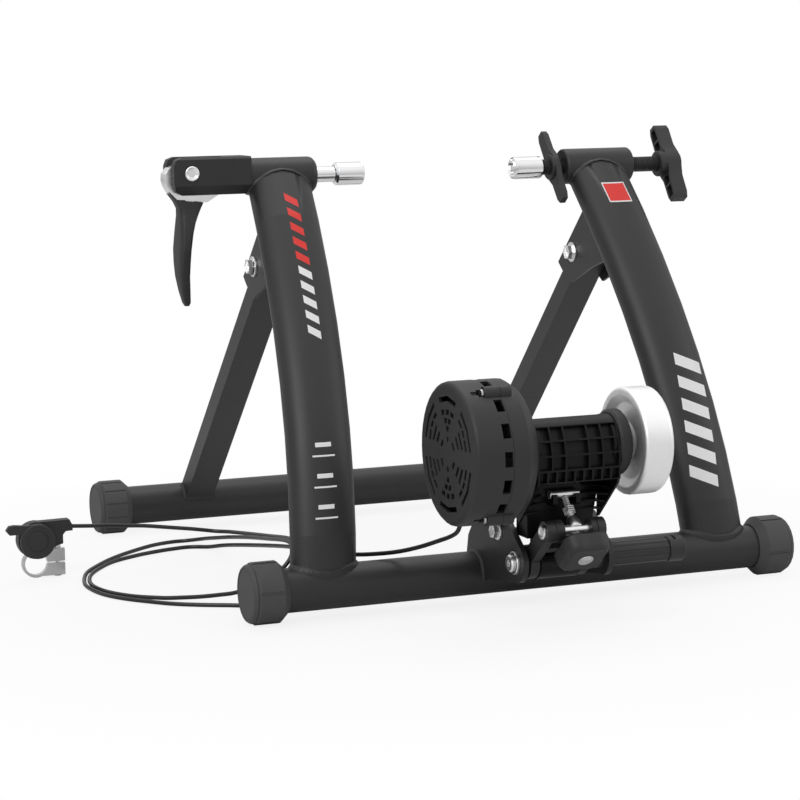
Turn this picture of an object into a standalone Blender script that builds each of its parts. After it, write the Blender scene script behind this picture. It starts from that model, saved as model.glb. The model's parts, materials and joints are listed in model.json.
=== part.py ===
"""A folding indoor bike trainer with a swinging resistance unit, two axle clamps and a cable shifter.

Metres, +Z up. Sizes and places below are in the front tube's own axes: X runs along the tube from its
middle, Y runs back from its axis and Z is the height over the floor. ORIGIN then moves the whole trainer,
so that it stands with the middle of its underside on the world's origin.
"""

import math

import bmesh
import bpy
from mathutils import Vector

GAP = 0.0003
TURN = 2 * math.pi
ORIGIN = (0.07195, -0.1641, 0)

# Foot tubes and their caps
TUBE_R = 0.020
TUBE_WALL = 0.0018
FOOT_R = 0.0279
FOOT_LENGTH = 0.035
FOOT_END = 0.004
FOOT_SIDES = 24
FOOT_FACE_R = 0.0245
FOOT_FACE_EDGE = 0.0064
FOOT_MOUTH_EDGE = 0.0070
TREAD_DEPTH = 0.0010
FRONT_TREADS = 5
REAR_TREADS = 12
FRONT_HALF = 0.2703
REAR_HALF = 0.2798
REAR_Y = 0.4778

# Uprights and the two head tubes on top of them
UPRIGHT_WIDTH = 0.061
UPRIGHT_DEPTH = 0.036
UPRIGHT_WALL = 0.002
UPRIGHT_INSET = 0.0726
UPRIGHT_FOOT_X = FRONT_HALF - UPRIGHT_INSET
UPRIGHT_TOP_X = 0.1664
UPRIGHT_LEAN = 0.0558
UPRIGHT_STEPS = 8
UPRIGHT_SIDES = 20
HEAD_Y = 0.1958
HEAD_Z = 0.3855
HEAD_R = 0.0175
HEAD_RIGHT_IN = 0.1317
HEAD_RIGHT_OUT = 0.2049
HEAD_LEFT_IN = -0.1294
HEAD_LEFT_OUT = -0.1970
HEAD_CHAMBER_R = 0.0135

# Folding rear frame: legs, brackets and fold bolts
LEG_TOP = (0.1678, 0.1508, 0.3508)
LEG_FOOT_X = 0.1711
LEG_WIDTH = 0.030
LEG_DEPTH = 0.020
LEG_WALL = 0.0015
FOLD_ALONG = 0.0758
FOLD_RISE = 0.0025
FOLD_END_R = 0.0115
FOLD_BOLT_R = 0.004
FOLD_WASHER_R = 0.010
BRACKET_WIDTH = 0.038
BRACKET_SHEET = 0.003
BRACKET_X = 0.1684

# Left quick release clamp
CAM_X = -0.2557
CAM_Z = 0.3907
CAM_REACH = 0.0208
CAM_RISE = 0.0042
CAM_CONTACT = math.radians(-14)
CAM_THICK = 0.0150
CAM_SLOT = 0.0166
CAM_PIN_R = 0.005
CAM_PIN_HEAD_R = 0.007
COVER_LEFT = -0.2730
COVER_DEPTH = 0.036
COVER_BOTTOM = 0.3700
COVER_TOP = 0.4055
COVER_ROUND_HIGH = 0.0080
COVER_ROUND_LOW = 0.0105
CLAMP_PIN_R = 0.0075
CLAMP_TAIL_R = 0.0045
CUP_R = 0.011
CUP_LEFT_MOUTH = -0.0808
CUP_LEFT_BACK = -0.1090
SPRING_R = 0.0105
SPRING_WIRE_R = 0.0009
SPRING_TURNS = 3

# Right adjustable clamp
CUP_RIGHT_MOUTH = 0.0784
CUP_RIGHT_BACK = 0.1093
ROD_END = 0.2556
LOCK_X = (0.1175, 0.1262)
HANDLE_X = (0.2376, 0.2603)
LOCK_HALF = 0.0405
HANDLE_HALF = 0.0420
LOCK_TILT = math.radians(38)
HANDLE_TILT = math.radians(33)

# Bracket plates and the pivot of the resistance unit
PLATE_THICK = 0.005
PLATE_LEFT_X = -0.050
PLATE_RIGHT_X = 0.038
PIVOT_Y = -0.090
PIVOT_Z = 0.0535
PIVOT_BOSS_R = 0.018
SLEEVE_R = 0.011
SLEEVE_SIDES = 12
SLEEVE_END = 0.0976
COLLAR_LENGTH = 0.0166
PIVOT_BOLT_R = 0.005
PLATE_BOLT = (-0.0540, 0.0763)
PLATE_BOLT_R = 0.004

# Tension screw
SCREW_X = -0.011
TRUNNION_Y = -0.1305
TRUNNION_Z = 0.087
TRUNNION_R = 0.0045
TRUNNION_PIN_R = 0.0036
TRUNNION_X = (-0.0243, 0.0009)
EYE_R = 0.0098
ARM_LEFT_X = (-0.0415, -0.033)
ARM_RIGHT_X = (0.007, 0.0145)
T_BAR_Y = -0.1063
T_BAR_Z = 0.115
T_BAR_R = 0.004
T_BAR_X = (-0.0253, 0.0034)
ROD_R = 0.003
ROD_BELOW = 0.028
KNOB_NEAR = 0.0085
KNOB_FAR = 0.0310
KNOB_R = 0.0255
KNOB_LOBE = 0.0055
KNUCKLE_X = (-0.032, 0.0062)
KNUCKLE_R = 0.016

# Resistance unit
UNIT_Y = -0.115
UNIT_Z = 0.159
HOUSING_R = 0.0625
HOUSING_WALL = 0.003
VENT_WIDTH = 0.0036
VENT_HEIGHT = 0.0046
VENT_RINGS = ((0.0494, ((10, 53),)), (0.0405, ((11, 25), (28, 38), (41, 53))), (0.0325, ((15, 42),)),
              (0.0245, ((18, 44),)), (0.0150, ((20, 48),)))
VENT_ROWS = ((0.0365, (-16, 0, 16), 5.5), (0.0290, (-8, 8), 6), (0.0222, (0,), 7), (0.0130, (0,), 8))
WINDOWS = (15, 37.5, 60, 82.5, 105)
WINDOW_WIDTH = 12
COVER_FACE_X = -0.124
SEAM_X = -0.0896
CRADLE_LEFT_X = -0.0518
CRADLE_RIGHT_X = 0.027
CRADLE_INNER_R = 0.020
CRADLE_SKIN_R = 0.0262
CRADLE_OPEN = (98, 310)
FRONT_PATH = ((-0.1334, 0.1798), (-0.1397, 0.1676), (-0.1428, 0.1549), (-0.1428, 0.1418), (-0.1420, 0.1310))
RIB = 0.0017
RIB_BAYS = (0.0113, 0.0112, 0.0205, 0.0116, 0.0140)
RIB_DEPTH = 0.005
SMALL_BAYS = 9
SHELF_HEIGHTS = (0.1215, 0.1143, 0.1070, 0.0995)
ROLLER_R = 0.0155
SHAFT_R = 0.006
BEARING_R = 0.014
END_WALL = 0.005
HOUSING_RIGHT_X = (0.0273, 0.039)
HOUSING_RIGHT_R = 0.0293
FLYWHEEL_X = (0.042, 0.070)
FLYWHEEL_R = 0.0475
ROTOR_R = 0.050
PEDESTAL_Y = (-0.101, -0.078)
PEDESTAL_FOOT = 0.0765
COVER_SCREW_R = 0.0022
COVER_BOSS_R = 0.006
COVER_BOSS_SINK = 0.0005
COVER_BOSS_RING = HOUSING_R - COVER_BOSS_SINK
COVER_BOSS_ANGLES = {"top": 118, "bottom": 238, "rear": 358}
COVER_BOSS_FRONT = 0.0140
COVER_BOSS_BACK = 0.0100

# Shifter and its cable
DIAL_X = -0.393
DIAL_Y = 0.271
DIAL_Z = 0.0395
DIAL_R = 0.017
LEVER_TIP = (-0.0307, 0.0133)
CABLE_R = 0.002
CABLE_EXIT_X = -0.3571
CABLE_EXIT_Z = 0.0503
CLAMP_BORE_R = 0.0112
CLAMP_CENTRE = (-0.391, 0.0143)
GLAND = (-0.0975, -0.080)
GLAND_END = 0.0965
GLAND_R = 0.0045
GLAND_REACH = 0.0458


def clear_scene():
    for thing in list(bpy.data.objects):
        bpy.data.objects.remove(thing, do_unlink=True)


def paint(name, colour, roughness, metallic):
    """One Principled material for the object of this name."""
    material = bpy.data.materials.new(name + "_finish")
    material.use_nodes = True
    shader = material.node_tree.nodes["Principled BSDF"]
    shader.inputs["Base Color"].default_value = (*colour, 1)
    shader.inputs["Roughness"].default_value = roughness
    shader.inputs["Metallic"].default_value = metallic
    return material


BLACK_PAINT = ((0.030, 0.030, 0.032), 0.45, 0.0)
BLACK_PLASTIC = ((0.022, 0.022, 0.024), 0.55, 0.0)
RUBBER = ((0.016, 0.016, 0.017), 0.8, 0.0)
CHROME = ((0.80, 0.80, 0.82), 0.12, 1.0)
ZINC = ((0.70, 0.70, 0.72), 0.35, 1.0)
WHITE_METAL = ((0.78, 0.78, 0.79), 0.4, 0.6)
GEL = ((0.05, 0.05, 0.055), 0.6, 0.0)


def joint(name, at, parent=None):
    """An empty on a joint's axis; everything that turns or slides with it hangs from it."""
    empty = bpy.data.objects.new(name, None)
    empty.empty_display_size = 0.02
    bpy.context.scene.collection.objects.link(empty)
    empty.parent = parent
    empty.location = Vector(at) - (place_of(parent) if parent else Vector())
    empty["place"] = tuple(at)
    return empty


def place_of(empty):
    return Vector(empty["place"])


def solid(name, mesh, finish, parent, smooth=True):
    """An object whose mesh is written in the trainer's axes, hung from a joint's empty."""
    body = bpy.data.objects.new(name, mesh)
    bpy.context.scene.collection.objects.link(body)
    body.parent = parent
    body.location = -place_of(parent)
    if body.type == "MESH" and smooth:
        mesh.shade_smooth()
        mesh.set_sharp_from_angle(angle=math.radians(32))
    if finish:
        mesh.materials.append(paint(name, *finish))
    return body


def helper(name, mesh, parent):
    body = solid(name, mesh, None, parent, smooth=False)
    body.hide_render = True
    body.display_type = "WIRE"
    return body


def combine(body, mesh, operation):
    """A Boolean with a hidden helper that holds this mesh."""
    other = helper(f"{body.name}_{operation.lower()}_{len(body.modifiers)}", mesh, body.parent)
    modifier = body.modifiers.new(other.name, "BOOLEAN")
    modifier.operation = operation
    modifier.solver = "EXACT"
    modifier.object = other
    return body


def cut(body, *meshes):
    for mesh in meshes:
        combine(body, mesh, "DIFFERENCE")
    return body


def add(body, *meshes):
    for mesh in meshes:
        combine(body, mesh, "UNION")
    return body


def mesh_of(points, faces, name="shape"):
    mesh = bpy.data.meshes.new(name)
    mesh.from_pydata([tuple(p) for p in points], [], faces)
    work = bmesh.new()
    work.from_mesh(mesh)
    bmesh.ops.recalc_face_normals(work, faces=work.faces)
    work.to_mesh(mesh)
    work.free()
    return mesh


def on_axis(axis, along, angle, radius):
    """A point at this place along an axis, turned from the next axis in the order X, Y, Z."""
    a, b = radius * math.cos(angle), radius * math.sin(angle)
    return {"X": (along, a, b), "Y": (b, along, a), "Z": (a, b, along)}[axis]


def turned(axis, centre, profile, sides=24, start=0.0):
    """A closed turned solid. A profile runs as (place along the axis, radius); one with an end on the axis
    is closed there, and any other is a ring whose last point joins its first."""
    centre = Vector(centre)
    rows, points, faces = [], [], []
    for along, radius in profile:
        if radius == 0:
            rows.append([len(points)] * sides)
            points.append(centre + Vector(on_axis(axis, along, 0, 0)))
            continue
        rows.append(range(len(points), len(points) + sides))
        for k in range(sides):
            points.append(centre + Vector(on_axis(axis, along, start + TURN * k / sides, radius)))
    ring = profile[0][1] > 0
    for i in range(len(rows) if ring else len(rows) - 1):
        low, high = rows[i], rows[(i + 1) % len(rows)]
        for k in range(sides):
            n = (k + 1) % sides
            corners = [low[k], low[n], high[n], high[k]]
            unique = [c for j, c in enumerate(corners) if c not in corners[:j]]
            if len(unique) > 2:
                faces.append(unique)
    return mesh_of(points, faces)


def cylinder(axis, centre, low, high, radius, sides=24, edge=0.0, start=0.0):
    """A plain cylinder, with both rims chamfered by edge."""
    if edge:
        profile = [(low, 0), (low, radius - edge), (low + edge, radius), (high - edge, radius),
                   (high, radius - edge), (high, 0)]
    else:
        profile = [(low, 0), (low, radius), (high, radius), (high, 0)]
    return turned(axis, centre, profile, sides, start)


def ring(axis, centre, low, high, outer, inner, sides=24, edge=0.0, start=0.0):
    profile = [(low, inner), (low, outer - edge), (low + edge, outer), (high - edge, outer),
               (high, outer - edge), (high, inner)]
    if not edge:
        profile = [(low, inner), (low, outer), (high, outer), (high, inner)]
    return turned(axis, centre, profile, sides, start)


def prism(axis, outline, low, high):
    """An outline drawn across an axis and extruded along it: (y, z) on X, (x, z) on Y, (x, y) on Z."""
    put = {"X": lambda s, a, b: (s, a, b), "Y": lambda s, a, b: (a, s, b), "Z": lambda s, a, b: (a, b, s)}
    n = len(outline)
    points = [put[axis](s, a, b) for s in (low, high) for a, b in outline]
    faces = [list(range(n)), list(range(2 * n - 1, n - 1, -1))]
    faces += [[k, (k + 1) % n, n + (k + 1) % n, n + k] for k in range(n)]
    return mesh_of(points, faces)


def box(low, high):
    (x0, y0, z0), (x1, y1, z1) = low, high
    return prism("Z", [(x0, y0), (x1, y0), (x1, y1), (x0, y1)], z0, z1)


def arc(centre, radius, first, last, steps):
    """Points on a round stretch of an outline, angles in degrees."""
    angles = [math.radians(first + (last - first) * k / steps) for k in range(steps + 1)]
    return [(centre[0] + radius * math.cos(a), centre[1] + radius * math.sin(a)) for a in angles]


def together(meshes):
    """Closed shapes that don't touch, as one mesh for one cut."""
    points, faces = [], []
    for mesh in meshes:
        start = len(points)
        points += [tuple(vertex.co) for vertex in mesh.vertices]
        faces += [[start + k for k in face.vertices] for face in mesh.polygons]
    return mesh_of(points, faces)


def radial_box(axis, angle, width, low_r, high_r, low, high):
    """A bar along X, as wide as width, which reaches out from an axis between two radii."""
    out = (math.cos(angle), math.sin(angle))
    across = (-out[1], out[0])
    outline = [(axis[1] + r * out[0] + w * across[0], axis[2] + r * out[1] + w * across[1])
               for r, w in ((low_r, -width / 2), (high_r, -width / 2), (high_r, width / 2),
                            (low_r, width / 2))]
    return prism("X", outline, low, high)


def loft(sections):
    """A skin over closed sections of equal point counts, with both ends filled."""
    n = len(sections[0])
    points = [p for section in sections for p in section]
    faces = [list(range(n)), list(range(len(points) - 1, len(points) - n - 1, -1))]
    for i in range(len(sections) - 1):
        for k in range(n):
            a, b = i * n + k, i * n + (k + 1) % n
            faces.append([a, b, b + n, a + n])
    return mesh_of(points, faces)


def bar(first, last, width, depth, rise=0.0):
    """A rectangular bar between two points: width along X, depth in the plane of Y and Z."""
    first, last = Vector(first), Vector(last)
    along = (last - first).normalized()
    normal = Vector((0, -along.z, along.y)).normalized()
    corners = [(-1, -1), (1, -1), (1, 1), (-1, 1)]
    return loft([
        [end + Vector((a * width / 2, 0, 0)) + normal * (b * depth / 2 + rise) for a, b in corners]
        for end in (first, last)
    ])


# The frame that stands on the floor

FRONT_AXIS = (0, 0, FOOT_R)
REAR_AXIS = (0, REAR_Y, FOOT_R)
HEAD_AXIS = (0, HEAD_Y, HEAD_Z)
PIVOT_AXIS = (0, PIVOT_Y, PIVOT_Z)
UNIT_AXIS = (0, UNIT_Y, UNIT_Z)


def foot_tube(name, axis, half, parent):
    end = half - FOOT_END - GAP
    return solid(name, ring("X", axis, -end, end, TUBE_R, TUBE_R - TUBE_WALL, 32), BLACK_PAINT, parent)


def foot_cap(name, axis, half, side, treads, first, parent):
    """A cap pressed over the tube's end: raised pads with grooves between them, one pad flat on the floor.
    Treads is how many grooves it has, and first is the angle of one of them in degrees."""
    rim = FOOT_R / math.cos(math.pi / FOOT_SIDES)
    mouth, end = half - FOOT_LENGTH, half
    core = rim - TREAD_DEPTH
    profile = [
        (end - FOOT_END, 0), (end - FOOT_END, TUBE_R + GAP), (mouth, TUBE_R + GAP), (mouth, TUBE_R + 0.0015),
        (mouth + FOOT_MOUTH_EDGE, rim), (end - FOOT_FACE_EDGE, rim), (end - 0.0050, core),
        (end - 0.0042, core - 0.0010), (end - 0.0032, core - 0.0005),
        (end - 0.0010, FOOT_FACE_R + 0.0010), (end, FOOT_FACE_R), (end, 0),
    ]
    facet = math.pi / FOOT_SIDES
    cap = turned("X", axis, [(side * along, radius) for along, radius in profile], FOOT_SIDES, facet)
    body = solid(name, cap, RUBBER, parent)
    width = 0.0030 if treads == FRONT_TREADS else 0.0018
    slots = []
    for k in range(treads):
        angle = math.radians(first) + TURN * k / treads
        low, high = sorted((side * (mouth + 0.001), side * (end - 0.0052)))
        slots.append(radial_box(axis, angle, width, core, rim + 0.002, low, high))
    return cut(body, together(slots))


def upright_centre(t, side):
    x = UPRIGHT_FOOT_X + (UPRIGHT_TOP_X - UPRIGHT_FOOT_X) * t
    y = UPRIGHT_LEAN * t + (HEAD_Y - UPRIGHT_LEAN) * t * t
    return Vector((side * x, y, FOOT_R + (HEAD_Z - FOOT_R) * t))


def upright_skin(side, grow, first=0.0, last=1.0, steps=UPRIGHT_STEPS, count=UPRIGHT_SIDES):
    """The curved oval tube, made larger all round by grow."""
    sections = []
    for k in range(steps + 1):
        t = first + (last - first) * k / steps
        here = upright_centre(t, side)
        ahead = upright_centre(t + 0.01, side) - upright_centre(t - 0.01, side)
        normal = Vector((0, ahead.z, -ahead.y)).normalized()
        depth = UPRIGHT_DEPTH * (1 - 0.07 * max(0.0, t - 0.9) / 0.1)
        section = []
        for j in range(count):
            c, s = math.cos(TURN * j / count), math.sin(TURN * j / count)
            a = math.copysign(abs(c) ** 0.86, c) * (UPRIGHT_WIDTH / 2 + grow)
            b = math.copysign(abs(s) ** 0.86, s) * (depth / 2 + grow)
            section.append(here + Vector((a, 0, 0)) + normal * b)
        sections.append(section)
    return loft(sections)


def upright(name, side, parent):
    body = solid(name, upright_skin(side, 0), BLACK_PAINT, parent)
    reach = FRONT_HALF
    return cut(
        body,
        upright_skin(side, -UPRIGHT_WALL - 0.0004, -0.05, 1.05, 5, 10),
        cylinder("X", FRONT_AXIS, -reach, reach, TUBE_R + GAP, 28),
        cylinder("X", HEAD_AXIS, -reach, reach, HEAD_R + GAP, 24),
    )


def head_right(parent):
    bore = CLAMP_PIN_R + GAP
    mesh = ring("X", HEAD_AXIS, HEAD_RIGHT_IN, HEAD_RIGHT_OUT, HEAD_R, bore, 24, 0.0015)
    return solid("head_tube_right", mesh, BLACK_PAINT, parent)


def head_left(parent):
    """Round at its inner end, with a chamber for the return spring."""
    nose = 0.006
    end = HEAD_LEFT_IN
    chamber_end = end - 0.0075
    bore = CLAMP_PIN_R + GAP
    round_nose = [(end - nose + x, HEAD_R - nose + r) for x, r in arc((0, 0), nose, 90, 0, 3)]
    profile = [(HEAD_LEFT_OUT, HEAD_R), *round_nose, (end, bore), (chamber_end, bore),
               (chamber_end, HEAD_CHAMBER_R), (HEAD_LEFT_OUT, HEAD_CHAMBER_R)]
    return solid("head_tube_left", turned("X", HEAD_AXIS, profile, 24), BLACK_PAINT, parent)


def plate_outline():
    """From the rear of the tube over the top to the pivot's boss and back under; the tube's saddle is cut."""
    boss = arc((PIVOT_Y, PIVOT_Z), PIVOT_BOSS_R, 112, 278, 12)
    return [(0.008, 0.034), (0.019, 0.044), (0.015, 0.061), (0.0036, 0.0746), (-0.010, 0.082),
            (-0.058, 0.0915),
            (-0.070, 0.090), *boss, (-0.030, 0.027), (-0.016, 0.022)]


def bracket_plate(name, outer_x, side, hole_r, parent):
    low, high = sorted((outer_x, outer_x - side * PLATE_THICK))
    body = solid(name, prism("X", plate_outline(), low, high), BLACK_PAINT, parent)
    return cut(
        body,
        cylinder("X", FRONT_AXIS, low - 0.01, high + 0.01, TUBE_R + GAP, 32),
        cylinder("X", PIVOT_AXIS, low - 0.01, high + 0.01, hole_r, 24),
        cylinder("X", (0, *PLATE_BOLT), low - 0.01, high + 0.01, PLATE_BOLT_R + GAP, 16),
    )


LEG_FOOT = Vector((LEG_FOOT_X, REAR_Y, FOOT_R))
LEG_ALONG = (LEG_FOOT - Vector(LEG_TOP)).normalized()
LEG_NORMAL = Vector((0, -LEG_ALONG.z, LEG_ALONG.y)).normalized()
FOLD_AXIS = Vector(LEG_TOP) + LEG_ALONG * FOLD_ALONG + LEG_NORMAL * FOLD_RISE
FOLD_POINT = (0, FOLD_AXIS.y, FOLD_AXIS.z)


def leg(name, side, parent):
    """A rectangular tube, round at the fold bolt and coped onto the rear tube."""
    flip = Vector((side, 1, 1))
    start = Vector(LEG_TOP) + LEG_ALONG * FOLD_ALONG
    x = side * FOLD_AXIS.x
    mesh = bar(start * flip, LEG_FOOT * flip, LEG_WIDTH, LEG_DEPTH)
    body = solid(name, mesh, BLACK_PAINT, parent)
    add(body, cylinder("X", FOLD_POINT, x - LEG_WIDTH / 2, x + LEG_WIDTH / 2, FOLD_END_R, 24))
    hollow_from = start + LEG_ALONG * 0.014
    hollow_to = LEG_FOOT + LEG_ALONG * 0.01
    cut(
        body,
        bar(hollow_from * flip, hollow_to * flip, LEG_WIDTH - 2 * LEG_WALL, LEG_DEPTH - 2 * LEG_WALL),
        cylinder("X", REAR_AXIS, -REAR_HALF, REAR_HALF, TUBE_R + GAP, 32),
        cylinder("X", FOLD_POINT, x - LEG_WIDTH, x + LEG_WIDTH, FOLD_BOLT_R + GAP, 16),
    )
    return body


def hinge_bracket(name, side, parent):
    """A folded channel welded behind the upright, open underneath for the leg."""
    outline = [(0.168, 0.357), (0.241, 0.287), (0.231, 0.279), (0.211, 0.268), (0.165, 0.287),
               (0.138, 0.2945), (0.119, 0.294), (0.135, 0.315), (0.151, 0.335)]
    low = side * BRACKET_X - BRACKET_WIDTH / 2
    high = side * BRACKET_X + BRACKET_WIDTH / 2
    body = solid(name, prism("X", outline, low, high), BLACK_PAINT, parent, smooth=False)
    web_from = FOLD_AXIS + LEG_ALONG * (FOLD_END_R + 0.001)
    clearance = LEG_DEPTH / 2 - FOLD_RISE + 0.0008
    far = 0.2
    inner = [
        web_from + LEG_NORMAL * far, web_from + LEG_NORMAL * clearance,
        web_from + LEG_NORMAL * clearance + LEG_ALONG * far,
        web_from - LEG_NORMAL * far + LEG_ALONG * far,
        web_from - LEG_NORMAL * far - LEG_ALONG * far,
        web_from + LEG_NORMAL * far - LEG_ALONG * far,
    ]
    cut(
        body,
        prism("X", [(p.y, p.z) for p in inner], low + BRACKET_SHEET, high - BRACKET_SHEET),
        upright_skin(side, GAP),
        cylinder("X", FOLD_POINT, low - 0.01, high + 0.01, FOLD_BOLT_R + GAP, 16),
    )
    return body


def hex_head(axis, centre, low, high, across):
    return cylinder(axis, centre, low, high, across / 2 / math.cos(math.pi / 6), 6)


def fold_bolt(name, side, parent):
    """A bolt through both cheeks and the leg, with a washer under its head and under its nut."""
    low = side * BRACKET_X - BRACKET_WIDTH / 2 - GAP
    high = side * BRACKET_X + BRACKET_WIDTH / 2 + GAP
    washer, head = 0.0016, 0.0055
    body = solid(name, cylinder("X", FOLD_POINT, low - 0.001, high + 0.001, FOLD_BOLT_R, 12), ZINC, parent)
    for out, sign in ((low, -1), (high, 1)):
        near, far = sorted((out, out + sign * washer))
        add(body, cylinder("X", FOLD_POINT, near, far, FOLD_WASHER_R, 20))
        near, far = sorted((out + sign * washer / 2, out + sign * (washer + head)))
        add(body, hex_head("X", FOLD_POINT, near, far, 0.013))
    return body


# Left clamp: a cam pushes the clamp pin and its cup against the axle

CAM_AXIS = (CAM_X, HEAD_Y, CAM_Z)
TAIL_END = CAM_X + CAM_REACH - 0.0002
COLLAR_X = (-0.1530, -0.1500)


def cam_outline():
    """Around the cam pin: the lifting face, which falls as it turns, then the lobe and tang."""
    face = []
    for k in range(12):
        a = CAM_CONTACT + math.radians(13 * k)
        r = CAM_REACH - CAM_RISE * (a - CAM_CONTACT)
        face.append((CAM_X + r * math.cos(a), CAM_Z + r * math.sin(a)))
    lobe = [(150, 0.0150), (165, 0.0195), (180, 0.0229), (195, 0.0242), (208, 0.0248), (222, 0.0255)]
    back = [(CAM_X + r * math.cos(math.radians(a)), CAM_Z + r * math.sin(math.radians(a))) for a, r in lobe]
    shank = [(-0.0119, -0.0244), (-0.0043, -0.0251), (-0.0043, -0.0440), (0.0047, -0.0440),
             (0.0047, -0.0262), (0.0171, -0.0277), (0.0205, -0.0258), (0.0307, -0.0197), (0.0225, -0.0125),
             (0.0200, -0.0078)]
    return face + back + [(CAM_X + x, CAM_Z + z) for x, z in shank]


def cam_head(parent):
    low, high = HEAD_Y - CAM_THICK / 2, HEAD_Y + CAM_THICK / 2
    body = solid("cam_head", prism("Y", cam_outline(), low, high), CHROME, parent)
    return cut(body, cylinder("Y", CAM_AXIS, -0.03, 0.03, CAM_PIN_R + GAP, 20))


def cam_cover(parent):
    """A block with sloped lower edges that hides the cam, open in the middle for it to turn."""
    side = [(HEAD_LEFT_OUT - 0.0030, COVER_BOTTOM), (HEAD_LEFT_OUT - GAP, COVER_BOTTOM + 0.0040),
            (HEAD_LEFT_OUT - GAP, COVER_TOP),
            *arc((COVER_LEFT + COVER_ROUND_HIGH, COVER_TOP - COVER_ROUND_HIGH), COVER_ROUND_HIGH, 90, 180, 2),
            *arc((COVER_LEFT + COVER_ROUND_LOW, COVER_BOTTOM + COVER_ROUND_LOW), COVER_ROUND_LOW, 180, 270, 2)]
    half = COVER_DEPTH / 2
    slope, edge = 0.009, 0.002
    end = [(-half + slope, COVER_BOTTOM), (half - slope, COVER_BOTTOM), (half, COVER_BOTTOM + slope),
           (half, COVER_TOP - edge), (half - edge, COVER_TOP), (-half + edge, COVER_TOP),
           (-half, COVER_TOP - edge), (-half, COVER_BOTTOM + slope)]
    body = solid("cam_cover", prism("Y", side, HEAD_Y - half - 0.01, HEAD_Y + half + 0.01), BLACK_PLASTIC,
                 parent)
    combine(body, prism("X", [(HEAD_Y + y, z) for y, z in end], -0.30, -0.10), "INTERSECT")
    spigot_end = HEAD_LEFT_OUT + 0.012
    add(body, cylinder("X", HEAD_AXIS, HEAD_LEFT_OUT - 0.004, spigot_end, HEAD_CHAMBER_R - GAP, 24))
    cut(
        body,
        box((-0.30, HEAD_Y - CAM_SLOT / 2, 0.30), (-0.2220, HEAD_Y + CAM_SLOT / 2, 0.45)),
        cylinder("X", HEAD_AXIS, -0.240, spigot_end + 0.01, CLAMP_TAIL_R + 0.001, 20),
        cylinder("Y", CAM_AXIS, -half - 0.01, half + 0.01, CAM_PIN_R + GAP, 20),
    )
    return body


def cam_pin(parent):
    half = COVER_DEPTH / 2 + GAP
    head = 0.0016
    profile = [(-half - head, 0), (-half - head, CAM_PIN_HEAD_R - 0.0006),
               (-half - head + 0.0006, CAM_PIN_HEAD_R),
               (-half, CAM_PIN_HEAD_R), (-half, CAM_PIN_R), (half, CAM_PIN_R), (half, CAM_PIN_HEAD_R),
               (half + head, CAM_PIN_HEAD_R - 0.0006), (half + head, 0)]
    return solid("cam_pin", turned("Y", CAM_AXIS, profile, 20), CHROME, parent)


def lever_grip(parent):
    """Thin and broad, curving outwards in the middle, with a socket on the cam's tang."""
    sections = []
    for z, x, half_x, half_y in (
        (0.3735, -0.2520, 0.0240, 0.0100), (0.3642, -0.2545, 0.0143, 0.0102),
        (0.3578, -0.2547, 0.0110, 0.0104),
        (0.3515, -0.2561, 0.0092, 0.0114), (0.3442, -0.2579, 0.0077, 0.0134),
        (0.3344, -0.2597, 0.0066, 0.0155),
        (0.3194, -0.2616, 0.0060, 0.0165), (0.3067, -0.2621, 0.0057, 0.0145),
        (0.2939, -0.2620, 0.0053, 0.0115),
        (0.2809, -0.2606, 0.0047, 0.0080), (0.2692, -0.2589, 0.0036, 0.0047),
        (0.2658, -0.2585, 0.0020, 0.0026),
    ):
        section = []
        for j in range(16):
            c, s = math.cos(TURN * (j + 0.5) / 16), math.sin(TURN * (j + 0.5) / 16)
            a = math.copysign(abs(c) ** 0.5, c) * half_x
            b = math.copysign(abs(s) ** 0.5, s) * half_y
            section.append(Vector((x + a, HEAD_Y + b, z)))
        sections.append(section)
    body = solid("lever_grip", loft(sections), BLACK_PLASTIC, parent)
    above = [(-0.300, 0.3745), (-0.2762, 0.3735), (-0.2679, 0.3660), (-0.2600, 0.3650), (-0.2388, 0.3627),
             (-0.2350, 0.3648), (-0.2200, 0.3735), (-0.2200, 0.3900), (-0.300, 0.3900)]
    shank = box((CAM_X - 0.0043 - GAP, HEAD_Y - CAM_THICK / 2 - GAP, CAM_Z - 0.0440 - GAP),
                (CAM_X + 0.0047 + GAP, HEAD_Y + CAM_THICK / 2 + GAP, CAM_Z))
    return cut(body, prism("Y", above, 0.15, 0.25), shank)


def clamp_pin(parent):
    end = CUP_LEFT_BACK - GAP
    dome = [(TAIL_END + CLAMP_TAIL_R + CLAMP_TAIL_R * x, CLAMP_TAIL_R * r) for x,
            r in arc((0, 0), 1, 90, 180, 4)]
    dome[-1] = (TAIL_END, 0)
    profile = [(end, 0), (end, CLAMP_PIN_R - 0.0005), (end - 0.0005, CLAMP_PIN_R), (COLLAR_X[1], CLAMP_PIN_R),
               (COLLAR_X[1], HEAD_CHAMBER_R - 0.0006), (COLLAR_X[0], HEAD_CHAMBER_R - 0.0006),
               (COLLAR_X[0], CLAMP_TAIL_R), *dome]
    return solid("clamp_pin", turned("X", HEAD_AXIS, profile, 20), CHROME, parent)


def return_spring(parent):
    """A coil between the head's inner wall and the pin's collar."""
    low = COLLAR_X[1] + SPRING_WIRE_R + GAP
    high = HEAD_LEFT_IN - 0.0075 - SPRING_WIRE_R - GAP
    steps = 12 * SPRING_TURNS
    points = []
    for k in range(steps + 1):
        a = TURN * SPRING_TURNS * k / steps
        along = low + (high - low) * k / steps
        points.append((along, HEAD_Y + SPRING_R * math.cos(a), HEAD_Z + SPRING_R * math.sin(a)))
    return solid("return_spring", wire("return_spring", points, SPRING_WIRE_R, 0), ZINC, parent)


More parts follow.
